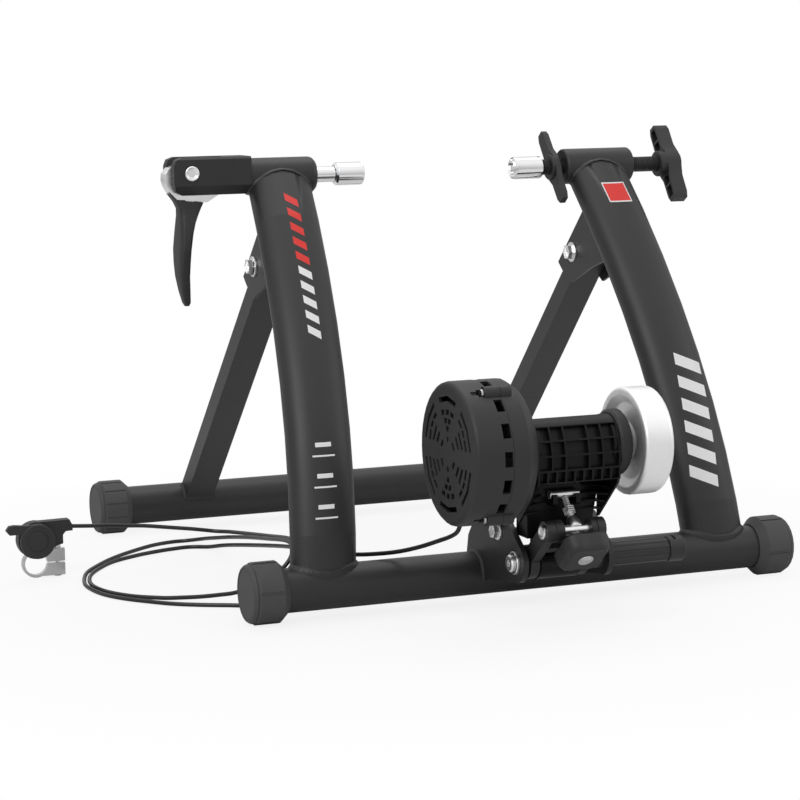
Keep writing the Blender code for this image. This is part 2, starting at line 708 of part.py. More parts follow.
def wire(name, points, radius, resolution):
    curve = bpy.data.curves.new(name, "CURVE")
    curve.dimensions = "3D"
    curve.bevel_depth = radius
    curve.bevel_resolution = resolution
    curve.use_fill_caps = True
    spline = curve.splines.new("POLY")
    spline.points.add(len(points) - 1)
    for point, place in zip(spline.points, points):
        point.co = (*place, 1)
    return curve


def axle_cup(name, back, mouth, parent):
    """A round cup that takes the end of the wheel's axle."""
    way = 1 if mouth > back else -1
    depth, lip, floor_r = 0.014, 0.0018, 0.0050
    profile = [(back, 0), (back, CUP_R - 0.002), (back + way * 0.002, CUP_R), (mouth - way * 0.001, CUP_R),
               (mouth, CUP_R - 0.001), (mouth, CUP_R - lip), (mouth - way * depth, floor_r),
               (mouth - way * depth, 0)]
    return solid(name, turned("X", HEAD_AXIS, profile, 24), CHROME, parent)


# Right clamp: a threaded rod with a handle, and a handle that locks it


def handle(name, span, half, hub_r, bore, through, tilt, ribbed, parent):
    """Two tapered wings on a round hub. Hollow on its inner face where ribbed."""
    low, high = span
    wide, narrow, tip = hub_r * 0.92, hub_r * 0.55, hub_r * 0.34
    right = [(half, -tip), (half, tip), (half * 0.86, narrow), (half * 0.42, narrow * 1.05),
             (hub_r * 0.5, wide)]
    outline = right + [(-a, b) for a, b in right[::-1] if a] + [(-a, -b) for a, b in right[2:]]
    outline += [(a, -b) for a, b in right[:1:-1]]
    across = outline_unique(outline)
    c, s = math.cos(math.pi / 2 - tilt), math.sin(math.pi / 2 - tilt)
    spun = [(HEAD_Y + a * c - b * s, HEAD_Z + a * s + b * c) for a, b in across]
    inset = (high - low) * 0.30
    body = solid(name, prism("X", spun, low + inset, high - (high - low) * 0.05), BLACK_PLASTIC, parent)
    add(body, cylinder("X", HEAD_AXIS, low, high, hub_r, 24, 0.001))
    bore_to = high + 0.01 if through else ROD_END + GAP
    cut(body, cylinder("X", HEAD_AXIS, low - 0.01, bore_to, bore, 24))
    if ribbed:
        for sign in (-1, 1):
            spans = [(hub_r * 1.12, half * 0.56), (half * 0.62, half * 0.90)]
            for first, last in spans:
                pocket = [(sign * first, -narrow * 0.68),
                          (sign * last, -narrow * 0.68 * (1.0 if last < half * 0.7 else 0.8)),
                          (sign * last, narrow * 0.68 * (1.0 if last < half * 0.7 else 0.8)),
                          (sign * first, narrow * 0.68)]
                placed = [(HEAD_Y + a * c - b * s, HEAD_Z + a * s + b * c) for a, b in pocket]
                cut(body, prism("X", placed, low - 0.01, high - (high - low) * 0.3))
    return body


def outline_unique(outline):
    kept = []
    for point in outline:
        if not any(math.dist(point, other) < 1e-6 for other in kept):
            kept.append(point)
    return kept


def adjuster_rod(parent):
    start = CUP_RIGHT_BACK + GAP
    return solid("adjuster_rod", cylinder("X", HEAD_AXIS, start, ROD_END, CLAMP_PIN_R, 28, 0.0008),
                 BLACK_PAINT, parent)


# The swinging resistance unit


def boss_places():
    for name, degrees in COVER_BOSS_ANGLES.items():
        angle = math.radians(degrees)
        y = UNIT_Y + COVER_BOSS_RING * math.cos(angle)
        z = UNIT_Z + COVER_BOSS_RING * math.sin(angle)
        yield name, (0, y, z)


def window_angles():
    """The middles of the rim's windows, in degrees: the same row of them after every screw boss."""
    return [boss + step for boss in COVER_BOSS_ANGLES.values() for step in WINDOWS]


def slot_ring(low_r, high_r, first, last, steps=3):
    """A curved slot across the housing's face, angles in degrees from +Y towards +Z."""
    centre = (UNIT_Y, UNIT_Z)
    return arc(centre, high_r, first, last, steps) + arc(centre, low_r, last, first, steps)


def magnet_cover(parent):
    """A round vented cup whose rim carries the screw bosses and windows, with the cable's gland below."""
    edge = 0.005
    inner_r = HOUSING_R - HOUSING_WALL
    face, seam = COVER_FACE_X, SEAM_X
    corner = [(face + edge - edge * c, HOUSING_R - edge + edge * s) for c, s in arc((0, 0), 1, 0, 90, 3)]
    profile = [(face + HOUSING_WALL, 0), (face, 0), *corner, (seam, HOUSING_R), (seam, inner_r),
               (face + HOUSING_WALL + 0.003, inner_r), (face + HOUSING_WALL, inner_r - 0.003)]
    profile = profile[1:] + profile[:1]
    body = solid("magnet_cover", turned("X", UNIT_AXIS, profile, 40), BLACK_PLASTIC, parent)
    for _, place in boss_places():
        add(body, cylinder("X", place, seam - COVER_BOSS_FRONT, seam, COVER_BOSS_R, 12))
    add(body, cylinder("X", UNIT_AXIS, face + 0.001, -0.1085, 0.008, 20))
    add(body, cylinder("Z", (*GLAND, 0), GLAND_END, GLAND_END + 0.0145, GLAND_R, 12))
    pivot = (PIVOT_Y, PIVOT_Z)
    swept = [pivot, *arc(pivot, GLAND_REACH, 60, 84, 8)]
    cut(body, prism("X", swept, GLAND[0] - GLAND_R - 0.001, GLAND[0] + GLAND_R + 0.001))
    half, tall = VENT_WIDTH / 2, VENT_HEIGHT / 2
    vents = []
    for side in (0, 180):
        slots = [(0.0460, 0.0505, side + 68, side + 112, 2)]
        for radius, spans in VENT_RINGS:
            for first, last in spans:
                steps = 2 if last - first > 30 else 1
                slots += [(radius - half, radius + half, side + first, side + last, steps),
                          (radius - half, radius + half, side - last, side - first, steps)]
        for radius, middles, turn in VENT_ROWS:
            slots += [(radius - tall, radius + tall, side + 90 + middle - turn, side + 90 + middle + turn, 1)
                      for middle in middles]
        vents += [prism("X", slot_ring(*slot), face - 0.01, face + 0.01) for slot in slots]
    windows = []
    for middle in window_angles():
        turn = WINDOW_WIDTH / 2
        outline = slot_ring(inner_r - 0.005, HOUSING_R + 0.01, middle - turn, middle + turn, 1)
        windows.append(prism("X", outline, seam - 0.0083, seam - 0.0010))
    cut(body, together(vents), together(windows))
    for _, place in boss_places():
        recess = seam - COVER_BOSS_FRONT
        cut(body, cylinder("X", place, recess - 0.0050, recess, COVER_BOSS_R - 0.0006, 10))
        cut(body, cylinder("X", place, seam - 0.025, seam + 0.01, COVER_SCREW_R + GAP, 8))
    return body


def back_shell(parent):
    """The housing's rear half, which narrows in a curve to a neck around the left bearing."""
    seam, neck_end = SEAM_X + GAP, CRADLE_LEFT_X - GAP
    seat, seat_end = BEARING_R + GAP, CRADLE_LEFT_X - 0.0105
    shaft = SHAFT_R + 0.0015
    outer = [(seam, HOUSING_R), (-0.0745, HOUSING_R), (-0.0700, HOUSING_R - 0.0031),
             (-0.0654, HOUSING_R - 0.0063), (-0.0600, HOUSING_R - 0.0159),
             (-0.0561, 0.0369), (neck_end, 0.0258)]
    bore = [(neck_end, seat), (seat_end, seat), (seat_end, shaft), (-0.0660, shaft), (-0.0660, 0.0200)]
    inner = [(-0.0580, 0.0200), (-0.0580, 0.0290), (-0.0636, 0.0452), (-0.0735, 0.0572),
             (-0.0765, HOUSING_R - HOUSING_WALL), (seam, HOUSING_R - HOUSING_WALL)]
    body = solid("back_shell", turned("X", UNIT_AXIS, outer + bore + inner, 32), BLACK_PLASTIC, parent)
    for _, place in boss_places():
        add(body, cylinder("X", place, seam, seam + COVER_BOSS_BACK, COVER_BOSS_R, 12))
    for _, place in boss_places():
        cut(body, cylinder("X", place, seam - 0.01, seam + 0.008, COVER_SCREW_R + GAP, 8))
    return body


def cover_screw(name, place, parent):
    head, low = 0.0022, SEAM_X - COVER_BOSS_FRONT - GAP
    profile = [(low - head, 0), (low - head, 0.0038), (low, 0.0038), (low, COVER_SCREW_R),
               (SEAM_X + 0.0075, COVER_SCREW_R), (SEAM_X + 0.0075, 0)]
    return solid(name, turned("X", place, profile, 12), ZINC, parent)


def magnet_carrier(parent):
    """A plate that turns on the cover's hub and brings its magnets over the rotor disc."""
    body = solid("magnet_carrier", ring("X", UNIT_AXIS, -0.1160, -0.1125, 0.053, 0.0083, 20),
                 BLACK_PLASTIC, parent)
    for k in range(6):
        angle = TURN * (k + 0.5) / 6
        place = (0, UNIT_Y + 0.040 * math.cos(angle), UNIT_Z + 0.040 * math.sin(angle))
        add(body, cylinder("X", place, -0.1130, -0.1075, 0.009, 8))
    return body


def rotor_disc(parent):
    bore = SHAFT_R + GAP
    profile = [(-0.1045, bore), (-0.1045, 0.012), (-0.1020, 0.012), (-0.1020, ROTOR_R), (-0.0980, ROTOR_R),
               (-0.0980, 0.012), (-0.0920, 0.012), (-0.0920, bore)]
    return solid("rotor_disc", turned("X", UNIT_AXIS, profile, 16), WHITE_METAL, parent)


def rib_edges(first, pitches, rib):
    """Where each rib starts and ends along a row of ribs and bays."""
    edges = [first]
    for bay in pitches:
        edges += [edges[-1] + rib, edges[-1] + rib + bay]
    return edges + [edges[-1] + rib]


def pocket_mesh(xs, first, last):
    """Pockets between the ribs, cut inwards from one straight stretch of the cradle's front."""
    (y0, z0), (y1, z1) = first, last
    length = math.hypot(y1 - y0, z1 - z0)
    ty, tz = (y1 - y0) / length, (z1 - z0) / length
    ny, nz = -tz, ty
    half = RIB / 2
    corners = [(half, -0.002), (length - half, -0.002), (length - half, RIB_DEPTH), (half, RIB_DEPTH)]
    outline = [(y0 + ty * s + ny * d, z0 + tz * s + nz * d) for s, d in corners]
    return [prism("X", outline, xs[k], xs[k + 1]) for k in range(1, len(xs) - 1, 2)]


def cradle_outline():
    """Seen from the side: skin over the roller, ribbed front, foot slab and the channel's inside."""
    centre = (UNIT_Y, UNIT_Z)
    first, last = CRADLE_OPEN
    slab_front, slab_rear = PEDESTAL_Y
    skin = arc(centre, CRADLE_SKIN_R, first, 131.5, 4)
    foot = [(-0.1340, 0.1290), (slab_front, 0.1270), (slab_front, PEDESTAL_FOOT), (slab_rear, PEDESTAL_FOOT),
            (slab_rear, 0.1180), (-0.0950, 0.1350)]
    return skin + list(FRONT_PATH) + foot + arc(centre, CRADLE_INNER_R, last, first, 12)


def slope_y(z):
    """How far forward the cradle's slanted side cheeks reach at a height."""
    return -0.1004 - 1.092 * (z - 0.0909)


def front_outline():
    """Seen from the front: as wide as the roller above, narrow enough below for the bracket plates."""
    inner_left = PLATE_LEFT_X + PLATE_THICK + 0.0016
    return [(CRADLE_LEFT_X, 0.200), (CRADLE_LEFT_X, 0.1045), (inner_left, 0.0968), (inner_left, 0.060),
            (0.019, 0.060), (0.020, 0.092), (CRADLE_RIGHT_X, 0.128), (CRADLE_RIGHT_X, 0.200)]


def roller_cradle(parent):
    """The unit's body: a channel over the roller with a ribbed front, end walls, cheeks and the foot."""
    left, right = CRADLE_LEFT_X, CRADLE_RIGHT_X
    body = solid("roller_cradle", prism("X", cradle_outline(), left - 0.002, right + 0.002), BLACK_PLASTIC,
                 parent)
    combine(body, prism("Y", front_outline(), -0.200, 0.0), "INTERSECT")
    xs = rib_edges(left, RIB_BAYS, RIB)
    small = (right - left - RIB * (SMALL_BAYS + 1)) / SMALL_BAYS
    pockets = [pocket for first, last in zip(FRONT_PATH, FRONT_PATH[1:-1])
               for pocket in pocket_mesh(xs, first, last)]
    pockets += pocket_mesh(rib_edges(left, [small] * SMALL_BAYS, RIB), *FRONT_PATH[-2:])
    cut(body, together(pockets))
    inset = 0.0004
    wall_r = CRADLE_SKIN_R - 0.0007
    add(body, ring("X", UNIT_AXIS, left + inset, left + END_WALL, wall_r, SHAFT_R + 0.0015, 30),
        ring("X", UNIT_AXIS, right - END_WALL, right - inset, wall_r, BEARING_R - 0.002, 30))
    cheek = [(-0.1415, 0.1315), (-0.1395, 0.1267), (slope_y(0.109), 0.1090), (PEDESTAL_Y[0], 0.0915),
             (PEDESTAL_Y[0] + 0.002, 0.0915), (PEDESTAL_Y[0] + 0.002, 0.1315)]
    inset = 0.0002
    add(body, together([prism("X", cheek, left + inset, left + 0.0022),
                        prism("X", cheek, right - 0.0022, right - inset)]))
    shelves = []
    for z in SHELF_HEIGHTS:
        deep, shallow, back = slope_y(z) + 0.002, PEDESTAL_Y[0] - 0.0008, PEDESTAL_Y[0] + 0.0005
        outline = [(left + 0.0018, back), (right - 0.0015, back), (right - 0.0015, deep), (0.008, shallow),
                   (-0.031, shallow), (left + 0.0018, deep)]
        shelves.append(prism("Z", outline, z - 0.0008, z + 0.0008))
    add(body, together(shelves))
    neck = 0.0008
    add(body, box((KNUCKLE_X[0] + neck, PIVOT_Y - 0.0100, PIVOT_Z),
                  (KNUCKLE_X[1] - neck, PIVOT_Y + 0.0100, 0.080)))
    add(body, cylinder("X", PIVOT_AXIS, *KNUCKLE_X, KNUCKLE_R, 24))
    cut(body, cylinder("X", PIVOT_AXIS, KNUCKLE_X[0] - 0.01, KNUCKLE_X[1] + 0.01, SLEEVE_R + 0.0004, 22))
    groove = T_BAR_R + 0.0009
    hook = [(PEDESTAL_Y[0] + 0.001, T_BAR_Z - 0.0095), (T_BAR_Y - 0.0060, T_BAR_Z - 0.0095),
            (T_BAR_Y - 0.0078, T_BAR_Z - 0.0075), (T_BAR_Y - 0.0078, T_BAR_Z + 0.0005),
            (PEDESTAL_Y[0] + 0.001, T_BAR_Z + 0.0005)]
    add(body, together([prism("X", hook, T_BAR_X[0] + 0.001, T_BAR_X[0] + 0.0055),
                        prism("X", hook, T_BAR_X[1] - 0.0055, T_BAR_X[1] - 0.001)]))
    cut(body, cylinder("X", (0, T_BAR_Y, T_BAR_Z), T_BAR_X[0] - 0.002, T_BAR_X[1] + 0.002, groove, 20))
    return body


def roller(parent):
    low, high = CRADLE_LEFT_X + END_WALL + 0.001, CRADLE_RIGHT_X - END_WALL - 0.001
    body = ring("X", UNIT_AXIS, low, high, ROLLER_R, SHAFT_R + GAP, 20, 0.001)
    return solid("roller", body, GEL, parent)


def roller_shaft(parent):
    mesh = cylinder("X", UNIT_AXIS, -0.1055, FLYWHEEL_X[1] + 0.003, SHAFT_R, 20, 0.0005)
    return solid("roller_shaft", mesh, ZINC, parent)


def bearing(name, low, high, parent):
    return solid(name, ring("X", UNIT_AXIS, low, high, BEARING_R, SHAFT_R + GAP, 16, 0.0005), ZINC, parent)


def bearing_housing(parent):
    low, high = HOUSING_RIGHT_X
    seat = BEARING_R + GAP
    profile = [(low, HOUSING_RIGHT_R - 0.002), (low + 0.002, HOUSING_RIGHT_R),
               (high - 0.002, HOUSING_RIGHT_R),
               (high, HOUSING_RIGHT_R - 0.002), (high, SHAFT_R + 0.0015), (high - 0.0025, SHAFT_R + 0.0015),
               (high - 0.0025, seat), (low, seat)]
    return solid("bearing_housing", turned("X", UNIT_AXIS, profile, 28), BLACK_PLASTIC, parent)


def flywheel(parent):
    low, high = FLYWHEEL_X
    bore = SHAFT_R + GAP
    rim = 0.004
    corner = [(high - rim + rim * s, FLYWHEEL_R - rim + rim * c) for c, s in arc((0, 0), 1, 0, 90, 3)]
    profile = [(low, FLYWHEEL_R - 0.002), (low + 0.002, FLYWHEEL_R), *corner, (high, 0.016),
               (high - 0.003, 0.013),
               (high - 0.003, bore), (low + 0.002, bore), (low + 0.002, 0.013), (low + 0.006, 0.017),
               (low + 0.006, 0.034), (low, 0.041)]
    return solid("flywheel", turned("X", UNIT_AXIS, profile, 36), WHITE_METAL, parent)


def flywheel_nut(parent):
    low = FLYWHEEL_X[1] - 0.003 + GAP
    body = solid("flywheel_nut", hex_head("X", UNIT_AXIS, low, low + 0.0075, 0.019), ZINC, parent,
                 smooth=False)
    return cut(body, cylinder("X", UNIT_AXIS, low - 0.01, FLYWHEEL_X[1] + 0.003 + GAP, SHAFT_R + GAP, 20))


# The pivot, and the screw that holds the unit off the tyre


def torsion_sleeve(parent):
    low = PLATE_LEFT_X + PLATE_THICK + GAP
    bore = PIVOT_BOLT_R + GAP
    mesh = ring("X", PIVOT_AXIS, low, SLEEVE_END, SLEEVE_R, bore, SLEEVE_SIDES * 2, 0.0006)
    body = solid("torsion_sleeve", mesh, BLACK_PAINT, parent)
    for k in range(SLEEVE_SIDES):
        angle = TURN * (k + 0.5) / SLEEVE_SIDES
        place = (0, PIVOT_Y + (SLEEVE_R + 0.0009) * math.cos(angle),
                 PIVOT_Z + (SLEEVE_R + 0.0009) * math.sin(angle))
        cut(body, cylinder("X", place, PLATE_RIGHT_X + 0.004, SLEEVE_END + 0.01, 0.0018, 8))
    return body


def sleeve_collar(parent):
    low = SLEEVE_END + GAP
    end = SLEEVE_END + COLLAR_LENGTH
    profile = [(low, PIVOT_BOLT_R + GAP), (low, 0.0110), (low + 0.0008, 0.0118), (end - 0.0015, 0.0118),
               (end, 0.0100), (end, PIVOT_BOLT_R + GAP)]
    body = solid("sleeve_collar", turned("X", PIVOT_AXIS, profile, 24), BLACK_PLASTIC, parent)
    return cut(body, box((low + 0.005, PIVOT_Y - 0.02, PIVOT_Z + 0.009),
                         (low + 0.0075, PIVOT_Y + 0.02, PIVOT_Z + 0.02)))


def pivot_bolt(parent):
    low = PLATE_LEFT_X - GAP
    end = SLEEVE_END + COLLAR_LENGTH - 0.0015
    profile = [(low - 0.0065, 0), (low - 0.0065, 0.0066), (low - 0.0050, 0.0078), (low - 0.0018, 0.0078),
               (low - 0.0018, 0.0105), (low, 0.0105), (low, PIVOT_BOLT_R), (end, PIVOT_BOLT_R), (end, 0)]
    body = solid("pivot_bolt", turned("X", PIVOT_AXIS, profile, 24), ZINC, parent)
    return cut(body, hex_head("X", PIVOT_AXIS, low - 0.01, low - 0.0035, 0.006))


def plate_bolt(parent):
    """A bolt that ties the two plates together behind the pedestal."""
    low, high = PLATE_LEFT_X - GAP, PLATE_RIGHT_X + GAP
    place = (0, *PLATE_BOLT)
    body = solid("plate_bolt", cylinder("X", place, low - 0.001, high + 0.001, PLATE_BOLT_R, 12), ZINC,
                 parent)
    for out, sign in ((low, -1), (high, 1)):
        near, far = sorted((out, out + sign * 0.0014))
        add(body, cylinder("X", place, near, far, 0.0085, 16))
        near, far = sorted((out + sign * 0.0008, out + sign * 0.0065))
        add(body, hex_head("X", place, near, far, 0.0115))
    return body


SCREW_DOWN = Vector((0, TRUNNION_Y - T_BAR_Y, TRUNNION_Z - T_BAR_Z))
SCREW_REACH = SCREW_DOWN.length
SCREW_DOWN = SCREW_DOWN.normalized()
TRUNNION_AXIS = (0, TRUNNION_Y, TRUNNION_Z)
SCREW_TURN = math.atan2(-SCREW_DOWN.y, -SCREW_DOWN.z)


def along_screw(mesh):
    """Turns a mesh made along Z, with its zero at the trunnion, onto the tension rod's line."""
    c, s = -SCREW_DOWN.z, -SCREW_DOWN.y
    for vertex in mesh.vertices:
        x, y, z = vertex.co
        vertex.co = (SCREW_X + x, TRUNNION_Y + y * c + z * s, TRUNNION_Z - y * s + z * c)
    return mesh


def screw_cylinder(low, high, radius, sides=20, edge=0.0, start=0.0):
    return along_screw(cylinder("Z", (0, 0, 0), low, high, radius, sides, edge, start))


def tension_yoke(parent):
    """Two arms keyed on the sleeve, joined by a web behind the rod; their eyes carry the trunnion."""
    pivot = Vector(PIVOT_AXIS)
    eye = Vector(TRUNNION_AXIS)
    arm = eye - pivot
    along = arm.normalized()
    body = None
    for low, high in (ARM_LEFT_X, ARM_RIGHT_X):
        middle = Vector(((low + high) / 2, 0, 0))
        pieces = [
            bar(pivot + middle, eye + middle, high - low, 0.0150),
            cylinder("X", PIVOT_AXIS, low, high, 0.0152, 18),
            cylinder("X", TRUNNION_AXIS, low, high, EYE_R, 16),
        ]
        if body is None:
            body = solid("tension_yoke", pieces.pop(0), BLACK_PAINT, parent)
        add(body, *pieces)
    web = pivot + arm * 0.52
    left, right = ARM_LEFT_X[1] - 0.001, ARM_RIGHT_X[0] + 0.001
    across = Vector(((left + right) / 2, 0, 0))
    add(body, bar(web + across - along * 0.0035, web + across + along * 0.0035, right - left, 0.0100))
    far = 0.01
    cut(
        body,
        cylinder("X", PIVOT_AXIS, ARM_LEFT_X[0] - far, ARM_RIGHT_X[1] + far, SLEEVE_R + GAP, 20),
        cylinder("X", TRUNNION_AXIS, ARM_LEFT_X[0] - far, ARM_RIGHT_X[1] + far, TRUNNION_PIN_R + GAP, 12),
    )
    return body


def trunnion(parent):
    """A cross barrel for the rod, with a pin through the yoke's eyes and a cone on top that seats the nut."""
    left, right = TRUNNION_X
    pin_left, pin_right = ARM_LEFT_X[0] - GAP, ARM_RIGHT_X[1]
    profile = [(pin_left - 0.0022, 0), (pin_left - 0.0022, 0.0055), (pin_left - 0.0016, 0.0062),
               (pin_left, 0.0062),
               (pin_left, TRUNNION_PIN_R), (left, TRUNNION_PIN_R), (left, TRUNNION_R), (right, TRUNNION_R),
               (right, TRUNNION_PIN_R), (pin_right, TRUNNION_PIN_R), (pin_right, 0)]
    body = solid("trunnion", turned("X", TRUNNION_AXIS, profile, 16), CHROME, parent)
    cone = [(0.0020, 0), (0.0020, 0.0068), (0.0052, 0.0068), (0.0118, 0.0046), (0.0118, 0)]
    add(body, along_screw(turned("Z", (0, 0, 0), cone, 18)))
    return cut(body, screw_cylinder(-0.02, 0.02, ROD_R + GAP))


def trunnion_bush(name, low, high, parent):
    mesh = ring("X", TRUNNION_AXIS, low, high, EYE_R, TRUNNION_PIN_R + GAP, 18, 0.0006)
    return solid(name, mesh, BLACK_PLASTIC, parent)


def t_bar(parent):
    mesh = cylinder("X", (0, T_BAR_Y, T_BAR_Z), *T_BAR_X, T_BAR_R, 20, 0.0005)
    return solid("t_bar", mesh, CHROME, parent)


def tension_rod(parent):
    """The threaded rod, with its stop nut above the trunnion."""
    top = SCREW_REACH - T_BAR_R - GAP
    body = solid("tension_rod", screw_cylinder(-ROD_BELOW, top, ROD_R, 16), CHROME, parent)
    nut = 0.0193
    return add(body, along_screw(hex_head("Z", (0, 0, 0), nut - 0.0025, nut + 0.0025, 0.010)))


def tension_knob(parent):
    """Four soft lobes around a hub; its bore takes the rod's lower end."""
    rows = []
    for depth, radius, lobe in (
        (-KNOB_NEAR, 0.0090, 0.0), (-KNOB_NEAR - 0.0030, 0.0140, 0.2),
        (-KNOB_NEAR - 0.0055, KNOB_R - 0.0015, 1.0),
        (-KNOB_NEAR - 0.0075, KNOB_R, 1.0), (-KNOB_FAR + 0.0050, KNOB_R - 0.0010, 1.0),
        (-KNOB_FAR + 0.0015, KNOB_R - 0.0030, 1.0), (-KNOB_FAR, KNOB_R - 0.0050, 0.9),
    ):
        row = []
        for k in range(32):
            a = TURN * (k + 0.5) / 32
            r = radius - KNOB_LOBE * lobe * (1 + math.cos(4 * a)) / 2
            row.append(Vector((r * math.cos(a), r * math.sin(a), depth)))
        rows.append(row)
    body = solid("tension_knob", along_screw(loft(rows)), BLACK_PLASTIC, parent)
    return cut(body, screw_cylinder(-ROD_BELOW - 0.0006, 0.0, ROD_R + GAP, 16))


# Shifter and cable


def shifter_body(parent):
    """The dial's housing with its side arm, where the cable leaves."""
    low, high = DIAL_Y - 0.0035, DIAL_Y + 0.009
    body = solid("shifter_body", cylinder("Y", (DIAL_X, 0, DIAL_Z), low, high, DIAL_R + 0.001, 32),
                 BLACK_PLASTIC, parent)
    arm = [(DIAL_X, 0.0400), (DIAL_X + 0.004, 0.0571), (-0.3600, 0.0575), (-0.3585, 0.0545),
           (CABLE_EXIT_X, 0.0520),
           (CABLE_EXIT_X, 0.0465), (-0.3640, 0.0462), (-0.3668, 0.0430), (-0.3668, 0.0345), (-0.3760, 0.0320)]
    return add(body, prism("Y", arm, low + 0.001, high - 0.0005))


def shifter_lever(parent):
    """A dial with a thumb lever, turning on the housing's face."""
    low, high = DIAL_Y - 0.0105, DIAL_Y - 0.0038
    body = solid("shifter_lever", cylinder("Y", (DIAL_X, 0, DIAL_Z), low, high, DIAL_R, 32, 0.001),
                 BLACK_PLASTIC, parent)
    x, z = DIAL_X + LEVER_TIP[0], DIAL_Z + LEVER_TIP[1]
    lever = [(x, z - 0.0010), (x + 0.0035, z - 0.0052), (x + 0.0165, z - 0.0052),
             (DIAL_X - 0.003, DIAL_Z + 0.002),
             (DIAL_X + 0.002, DIAL_Z + DIAL_R - 0.0004), (x + 0.020, z + 0.0028), (x + 0.008, z + 0.0040),
             (x + 0.0030, z + 0.0034)]
    return add(body, prism("Y", lever, low + 0.0008, high))


def shifter_clamp(parent):
    """A split band for a handlebar, with a foot behind the housing."""
    x, z = CLAMP_CENTRE
    low, high = DIAL_Y - 0.0010, DIAL_Y + 0.0155
    band = CLAMP_BORE_R + 0.0026
    base = z - band
    mesh = cylinder("Y", (x, 0, z), DIAL_Y + 0.0095, high, band, 32)
    body = solid("shifter_clamp", mesh, WHITE_METAL, parent)
    add(body, box((x + 0.006, DIAL_Y + 0.0098, base + 0.001), (x + 0.0285, high - 0.0003, z + band - 0.0005)))
    cut(
        body,
        cylinder("Y", (x, 0, z), low - 0.02, high + 0.02, CLAMP_BORE_R, 28, start=0.05),
        box((x + 0.0085, low - 0.02, z - 0.0008), (x + 0.04, high + 0.02, z + 0.0007)),
        cylinder("Z", (x + 0.0215, DIAL_Y + 0.0127, 0), -0.01, 0.06, 0.0021, 12),
    )
    return body


def clamp_bolt(parent):
    x, z = CLAMP_CENTRE
    band = CLAMP_BORE_R + 0.0026
    base, top = z - band + 0.001 - GAP, z + band - 0.0005 + GAP
    profile = [(base - 0.0006, 0), (base - 0.0006, 0.0036), (base, 0.0036), (base, 0.0018), (top, 0.0018),
               (top, 0.0036), (top + 0.0025, 0.0036), (top + 0.0025, 0)]
    return solid("clamp_bolt", turned("Z", (x + 0.0215, DIAL_Y + 0.0127, 0), profile, 12), ZINC, parent)


FLOOR_Z = CABLE_R + 0.0002
CABLE_ROUTE = [
    (-0.0975, -0.0800, 0.0970), (-0.0976, -0.0788, 0.0902), (-0.0981, -0.0753, 0.0841),
    (-0.0992, -0.0703, 0.0800), (-0.1014, -0.0612, 0.0757), (-0.1039, -0.0520, 0.0722),
    (-0.1145, -0.0300, 0.0632), (-0.1262, -0.0100, 0.0563), (-0.1390, 0.0080, 0.0519),
    (-0.1556, 0.0280, 0.0488), (-0.1750, 0.0485, 0.0485), (-0.1876, 0.0655, 0.0484),
    (-0.1900, 0.0820, 0.0472), (-0.1902, 0.1136, 0.0437), (-0.1902, 0.1750, 0.0339),
    (-0.1903, 0.2640, 0.0186), (-0.1917, 0.3100, 0.0102), (-0.1975, 0.3420, 0.0035),
    (-0.2121, 0.3556, FLOOR_Z), (-0.2336, 0.3535, FLOOR_Z), (-0.2576, 0.3455, FLOOR_Z),
    (-0.2786, 0.3349, FLOOR_Z), (-0.3025, 0.3185, FLOOR_Z), (-0.3199, 0.2989, FLOOR_Z),
    (-0.3384, 0.2700, FLOOR_Z), (-0.3494, 0.2400, FLOOR_Z), (-0.3530, 0.2100, FLOOR_Z),
    (-0.3470, 0.1790, FLOOR_Z), (-0.3305, 0.1509, FLOOR_Z), (-0.3085, 0.1325, FLOOR_Z),
    (-0.2932, 0.1210, 0.0034), (-0.2788, 0.1075, 0.0056), (-0.2643, 0.0948, 0.0085),
    (-0.2532, 0.0835, 0.0117), (-0.2380, 0.0690, 0.0190), (-0.2220, 0.0600, 0.0300),
    (-0.2090, 0.0580, 0.0430), (-0.2030, 0.0670, 0.0530), (-0.2024, 0.0850, 0.0555),
    (-0.2028, 0.1370, 0.0483), (-0.2004, 0.2020, 0.0380), (-0.1967, 0.2746, 0.0252),
    (-0.1957, 0.3420, 0.0123), (-0.1962, 0.3690, 0.0068), (-0.2010, 0.3830, 0.0038),
    (-0.2110, 0.3900, FLOOR_Z), (-0.2260, 0.3890, FLOOR_Z), (-0.2457, 0.3810, FLOOR_Z),
    (-0.2710, 0.3618, FLOOR_Z), (-0.2979, 0.3367, FLOOR_Z), (-0.3214, 0.3079, FLOOR_Z),
    (-0.3440, 0.2720, FLOOR_Z), (-0.3575, 0.2270, FLOOR_Z), (-0.3585, 0.1968, FLOOR_Z),
    (-0.3531, 0.1690, FLOOR_Z), (-0.3413, 0.1450, FLOOR_Z), (-0.3250, 0.1240, FLOOR_Z),
    (-0.3073, 0.1046, FLOOR_Z), (-0.2848, 0.0886, FLOOR_Z), (-0.2553, 0.0721, FLOOR_Z),
    (-0.2360, 0.0570, 0.0045), (-0.2190, 0.0410, 0.0120), (-0.2055, 0.0320, 0.0240),
    (-0.1965, 0.0350, 0.0375), (-0.1938, 0.0500, 0.0480), (-0.1936, 0.0720, 0.0530),
    (-0.1944, 0.1006, 0.0542), (-0.1937, 0.1640, 0.0456), (-0.1925, 0.2260, 0.0368),
    (-0.1928, 0.2660, 0.0312), (-0.1965, 0.2810, 0.0296), (-0.2055, 0.2905, 0.0292),
    (-0.2170, 0.2935, 0.0308), (-0.2305, 0.2930, 0.0332), (-0.2522, 0.2860, 0.0375),
    (-0.2815, 0.2790, 0.0429), (-0.3020, 0.2750, 0.0454), (-0.3217, 0.2730, 0.0476),
    (-0.3372, 0.2720, 0.0487), (-0.3568, 0.2710, 0.0503),
]
CABLE_POINTS = 80
CABLE_BEND_SHARE = 0.04


